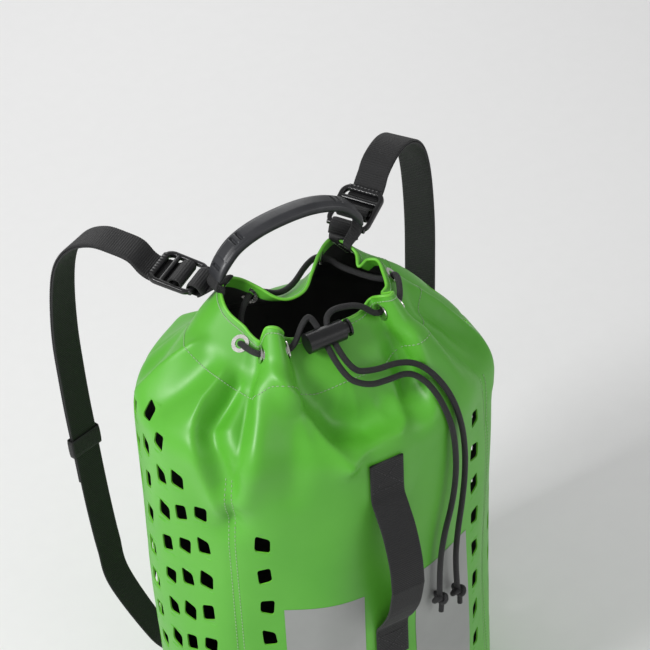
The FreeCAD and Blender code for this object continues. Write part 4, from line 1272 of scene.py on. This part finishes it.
for name, rows, low, high, patch in (
        ("front_web_upper", slice(0, FRONT_SPLIT + 1), 0.424, 0.385, "top"),
        ("front_web_lower", slice(FRONT_SPLIT, None), 0.230, 0.275, "bottom")):
    piece = band(name, front_line[rows], across[rows], 0.036, 0.0024)
    finish_piece(piece, WEBBING)
    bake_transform(piece)
    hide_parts("front_handle_patch_" + patch,
                *(["front_handle_web"] if patch == "top" else []))
front_middle = arc_of(-90.0) / MM
for name, low in (("top", FRONT_TOP - FRONT_PATCH + 10), ("bottom", FRONT_BOTTOM)):
    lines = box_lines((front_middle - 18, front_middle + 18), (low, low + 36), 2.6, True)
    sewn_lines("front_stitching_" + name, lines, DARK_THREAD, 0.0030)

# ---------------- carry handle

HANDLE_PATH = np.array([(-81, 36, 583), (-77, 38, 591), (-67, 40, 604), (-52, 42, 616),
                        (-30, 43, 624), (-4, 44, 627), (23, 44, 627), (46, 44, 622),
                        (63, 44, 613), (75, 44, 599), (79, 44, 588), (77, 43, 579)]) * MM
handle_run = HANDLE_PATH[-1] - HANDLE_PATH[0]
handle_across = unit_rows(np.array([[-handle_run[1], handle_run[0], 0]]))[0]
GRIP_SLOTS = (0.055, 0.20, 0.235, 0.765, 0.80, 0.945)
GRIP_HALF_WIDE, GRIP_HALF_TALL = 0.0110, 0.0052
FACET_HALF, FACET_RISE, GROOVE_AT, GROOVE_DEPTH = 0.0066, 0.0008, 0.0086, 0.0006
SLOT_HALF_LONG, SLOT_HALF_WIDE, SLOT_DEPTH = 0.0062, 0.0015, 0.0026


def grip_piece():
    """The moulded grip: tapered ends, stepped facets along its top and narrow slots."""
    line, marks = smooth_path(HANDLE_PATH[1:-1], 0.0006)
    along = unit_rows(np.gradient(line, axis=0))
    out = unit_rows(np.cross(along, handle_across))
    if out[len(out) // 2][2] < 0:
        out = -out
    share = marks / marks[-1]
    count = 60
    turn = np.linspace(0, 2 * math.pi, count, endpoint=False)
    rings = []
    for p, t, o in zip(line, share, out):
        end = min(t, 1 - t)
        taper = 1 - math.exp(-end / 0.028) * 0.52
        middle = 1 - 0.10 * math.cos(2 * math.pi * t) ** 2
        wide = GRIP_HALF_WIDE * (0.80 + 0.20 * taper) * (0.95 + 0.05 * middle)
        tall = GRIP_HALF_TALL * taper * (0.92 + 0.14 * math.sin(math.pi * t))
        c, s = np.cos(turn), np.sin(turn)
        x = wide * np.sign(c) * np.abs(c) ** 0.62
        y = tall * np.sign(s) * np.abs(s) ** 0.70
        # a raised facet in the middle of the top, with stepped shoulders
        facet = np.clip((FACET_HALF - np.abs(x)) / 0.0006, 0, 1) * (s > 0)
        step = np.clip((min(t, 1 - t) - 0.10) / 0.006, 0, 1)
        y = y + FACET_RISE * facet * step
        groove = np.exp(-((np.abs(x) - GROOVE_AT) / 0.0006) ** 2) * (s > 0)
        y = y - GROOVE_DEPTH * groove * step
        for slot_at in GRIP_SLOTS:
            far = (t - slot_at) * marks[-1] / SLOT_HALF_WIDE
            wide_enough = np.clip((SLOT_HALF_LONG - np.abs(x)) / 0.0008, 0, 1)
            y = y - SLOT_DEPTH * wide_enough * math.exp(-far ** 4) * (s > 0)
        rings.append(p + handle_across * x[:, None] + o * y[:, None])
    around = np.linspace(0, 0.056, count + 1)
    piece = tube_mesh("carry_grip", np.array(rings), marks, around)
    piece.data.set_sharp_from_angle(angle=math.radians(50))
    finish_piece(piece, GRIP, "carry_handle")
    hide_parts("handle_grip")


grip_piece()


def handle_end(name, corner, path, replaced):
    """A webbing end of the carry handle, sewn inside the gathered corner."""
    half = 0.0080
    sewn, outs = corner_rows(corner, (0.032, 0.025, 0.018, 0.011, 0.004), SEWN_SUNK,
                             handle_across, half)
    crest = corner_rows(corner, (-CREST_RISE,), CREST_SUNK, handle_across, half)[0]
    rows = np.concatenate([sewn, crest, straight_rows(path, handle_across, half)])
    piece = draped_band(name, rows, 0.0022)
    finish_piece(piece, WEBBING)
    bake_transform(piece)
    if replaced:
        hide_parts(*replaced)
    corner_stitches(name + "_stitching", sewn, outs, 0.0014)


handle_end("handle_end_left", 166.0, HANDLE_PATH[:4], ["handle_webbing"])
handle_end("handle_end_right", 21.0, HANDLE_PATH[:-5:-1], [])

# ---------------- cords

CORD_RADIUS = 0.003
LOCK = np.array([-16.0, -61, 563])
FRONT_RIM = np.array([-8.0, -46, 560])
FRONT_SHOULDER = np.array([0.0, -134, 474])
slope_down = unit_rows((FRONT_SHOULDER - FRONT_RIM)[None])[0]


def lock_point(across_it, down):
    return tuple(LOCK + np.array([across_it, 0, 0]) + slope_down * down)


EYELETS = [-111.2, -130.0, 209.6, 128.0, 58.0, -24.0, -51.0, -68.5]
EYELET_DROP = 15.0


def eyelet_place(angle):
    """Where an eyelet sits on the collar, and the outward direction there."""
    keys = np.append(rim_keys, rim_keys[0] + 360)
    i = max(k for k in range(len(RIM)) if keys[k] <= angle)
    share = (angle - keys[i]) / (keys[i + 1] - keys[i])
    low, high = rim_spots[i] / MM, rim_spots[(i + 1) % len(RIM)] / MM
    top = low + (high - low) * share
    turn = math.radians(angle)
    ring = np.array([180 * math.cos(turn), 134 * math.sin(turn),
                     474 - SHOULDER_TILT * 180 * math.cos(turn)])
    fall = ring - top
    point = top + fall * (EYELET_DROP / np.linalg.norm(fall))
    normal = unit_rows(np.cross(fall, high - low)[None])[0]
    return point, normal


places = [eyelet_place(angle) for angle in EYELETS]


def through(number, distance):
    point, normal = places[number - 1]
    return tuple(point - normal * 0.8 + normal * distance)


LOOP_ROUTE = [
    lock_point(-4, 0), lock_point(-4, -22), (-30, -44, 577), through(1, 7), through(1, -5),
    through(2, -5), through(2, 6), through(3, 7), through(3, -9), (-66, 16, 552),
    through(4, -9), through(4, 9), (-10, 26, 548), through(5, 9), through(5, -9),
    (52, 30, 552), through(6, -9), through(6, 8), through(7, 8), through(7, -5),
    through(8, -5), through(8, 7), (26, -46, 573), lock_point(4, -22), lock_point(4, 0)]
STRAND_LEFT = [lock_point(-4, 0), lock_point(-4, 40), (2, -102, 524), (25, -101, 520),
               (47, -98, 517), (61, -104, 506), (70, -115, 489), (76, -126, 464),
               (79, -129, 434), (79, -130, 398), (73, -132, 363), (62, -134, 329),
               (55, -136, 292), (54, -137, 255)]
STRAND_RIGHT = [lock_point(4, 0), lock_point(4, 38), (14, -95, 532), (38, -93, 529),
                (58, -94, 521), (73, -103, 506), (83, -116, 485), (88, -125, 457),
                (92, -125, 424), (92, -125, 388), (87, -127, 353), (80, -129, 317),
                (76, -131, 281), (78, -131, 247)]


def nurbs_line(name, route):
    """Points along a smooth spline whose control points are the route's."""
    curve = bpy.data.curves.new(name, "CURVE")
    curve.dimensions = "3D"
    spline = curve.splines.new("NURBS")
    spline.points.add(len(route) - 1)
    for point, spot in zip(spline.points, route):
        point.co = (spot[0] * MM, spot[1] * MM, spot[2] * MM, 1)
    spline.order_u = 3
    spline.use_endpoint_u = True
    spline.resolution_u = 16
    obj = bpy.data.objects.new(name, curve)
    bpy.context.scene.collection.objects.link(obj)
    bpy.context.view_layer.update()
    graph = bpy.context.evaluated_depsgraph_get()
    mesh = bpy.data.meshes.new_from_object(obj.evaluated_get(graph))
    points = np.array([v.co for v in mesh.vertices])
    bpy.data.meshes.remove(mesh)
    bpy.data.objects.remove(obj)
    return points


def even_steps(points, spacing):
    walk = np.concatenate([[0], np.cumsum(np.linalg.norm(np.diff(points, axis=0), axis=1))])
    at = np.linspace(0, walk[-1], max(2, int(round(walk[-1] / spacing)) + 1))
    return np.stack([np.interp(at, walk, points[:, k]) for k in range(3)], 1)


BRAID_STRANDS, BRAID_STARTS, BRAID_LAY, BRAID_DEPTH = 8, 4, 0.013, 0.00022


def braid(marks, turn):
    """The swell of a braided cord's crossing strands."""
    lay = 2 * math.pi * marks / BRAID_LAY * BRAID_STARTS
    one = np.cos(BRAID_STRANDS * turn + lay)
    two = np.cos(BRAID_STRANDS * turn - lay)
    return BRAID_DEPTH * (np.maximum(one, two) - 0.5)


def cord_piece(name, points):
    piece = round_tube(name, even_steps(points, 0.0005), CORD_RADIUS - 0.0001, 28, braid)
    return finish_piece(piece, CORD, "bag")


loop = cord_piece("laced_cord", nurbs_line("laced_route", LOOP_ROUTE))
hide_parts("drawcord_loop")


def knot_piece(name, end, heading):
    """An overhand knot with a short cut tail."""
    side = np.array(Vector(heading).orthogonal().normalized())
    other = np.cross(heading, side)
    t = np.linspace(0.12, 2 * math.pi - 0.12, 60)
    size = 0.0021
    x = (np.sin(t) + 2 * np.sin(2 * t)) * size
    y = (np.cos(t) - 2 * np.cos(2 * t)) * size
    z = -np.sin(3 * t) * size * 1.25
    middle = end + heading * 0.0065
    line = middle + side * x[:, None] + other * y[:, None] + heading * z[:, None]
    lead = even_steps(np.vstack([end - heading * 0.001, line[0]]), 0.001)[:-1]
    tail = line[-1] + np.linspace(0.002, 0.016, 8)[:, None] * (heading * 0.93 + side * 0.2)
    piece = round_tube(name, even_steps(np.vstack([lead, line, tail]), 0.0006),
                       CORD_RADIUS * 0.86, 22, braid)
    return finish_piece(piece, CORD, "bag")


for side, route in (("left", STRAND_LEFT), ("right", STRAND_RIGHT)):
    points = nurbs_line("strand_route_" + side, route)
    strand = cord_piece("hanging_cord_" + side, points)
    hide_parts("cord_strand_" + side)
    heading = unit_rows((points[-1] - points[-4])[None])[0]
    knot = knot_piece("knot_" + side, points[-1], heading)
    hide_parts("cord_knot_" + side)

# ---------------- binding stitches


def binding_stitches():
    """A row of stitches round the base binding."""
    turn = np.radians(np.linspace(0, 360, 1801)[:-1])
    grow = 0.00215
    ring = np.stack([(HALF_WIDTH + grow) * np.cos(turn), (HALF_DEPTH + grow) * np.sin(turn),
                     np.full(len(turn), 0.0145)], 1)
    path = even_steps(np.vstack([ring, ring[:1]]), STITCH_PITCH)[:-1]
    run = unit_rows(np.roll(path, -1, axis=0) - np.roll(path, 1, axis=0))
    normal = np.cross(run, [0, 0, 1.0])
    obj = stitch_mesh("binding_stitching", path - run * STITCH_LENGTH / 2,
                      path + run * STITCH_LENGTH / 2, normal)
    finish_piece(obj, THREAD, "bag")


binding_stitches()

# ---------------- CAD parts that stay


def dress(node, material):
    """A procedural material for a CAD node that stays in view."""
    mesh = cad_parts[node].data
    if mesh.materials:
        mesh.materials[0] = material
    else:
        mesh.materials.append(material)


for number in range(1, 9):
    dress("eyelet_%d" % number, NICKEL)
dress("base_disc", INSIDE)
dress("base_binding", GREEN)
dress("cord_lock_body", PLASTIC)
dress("cord_lock_button", PLASTIC)
dress("cord_lock_spring", STEEL)
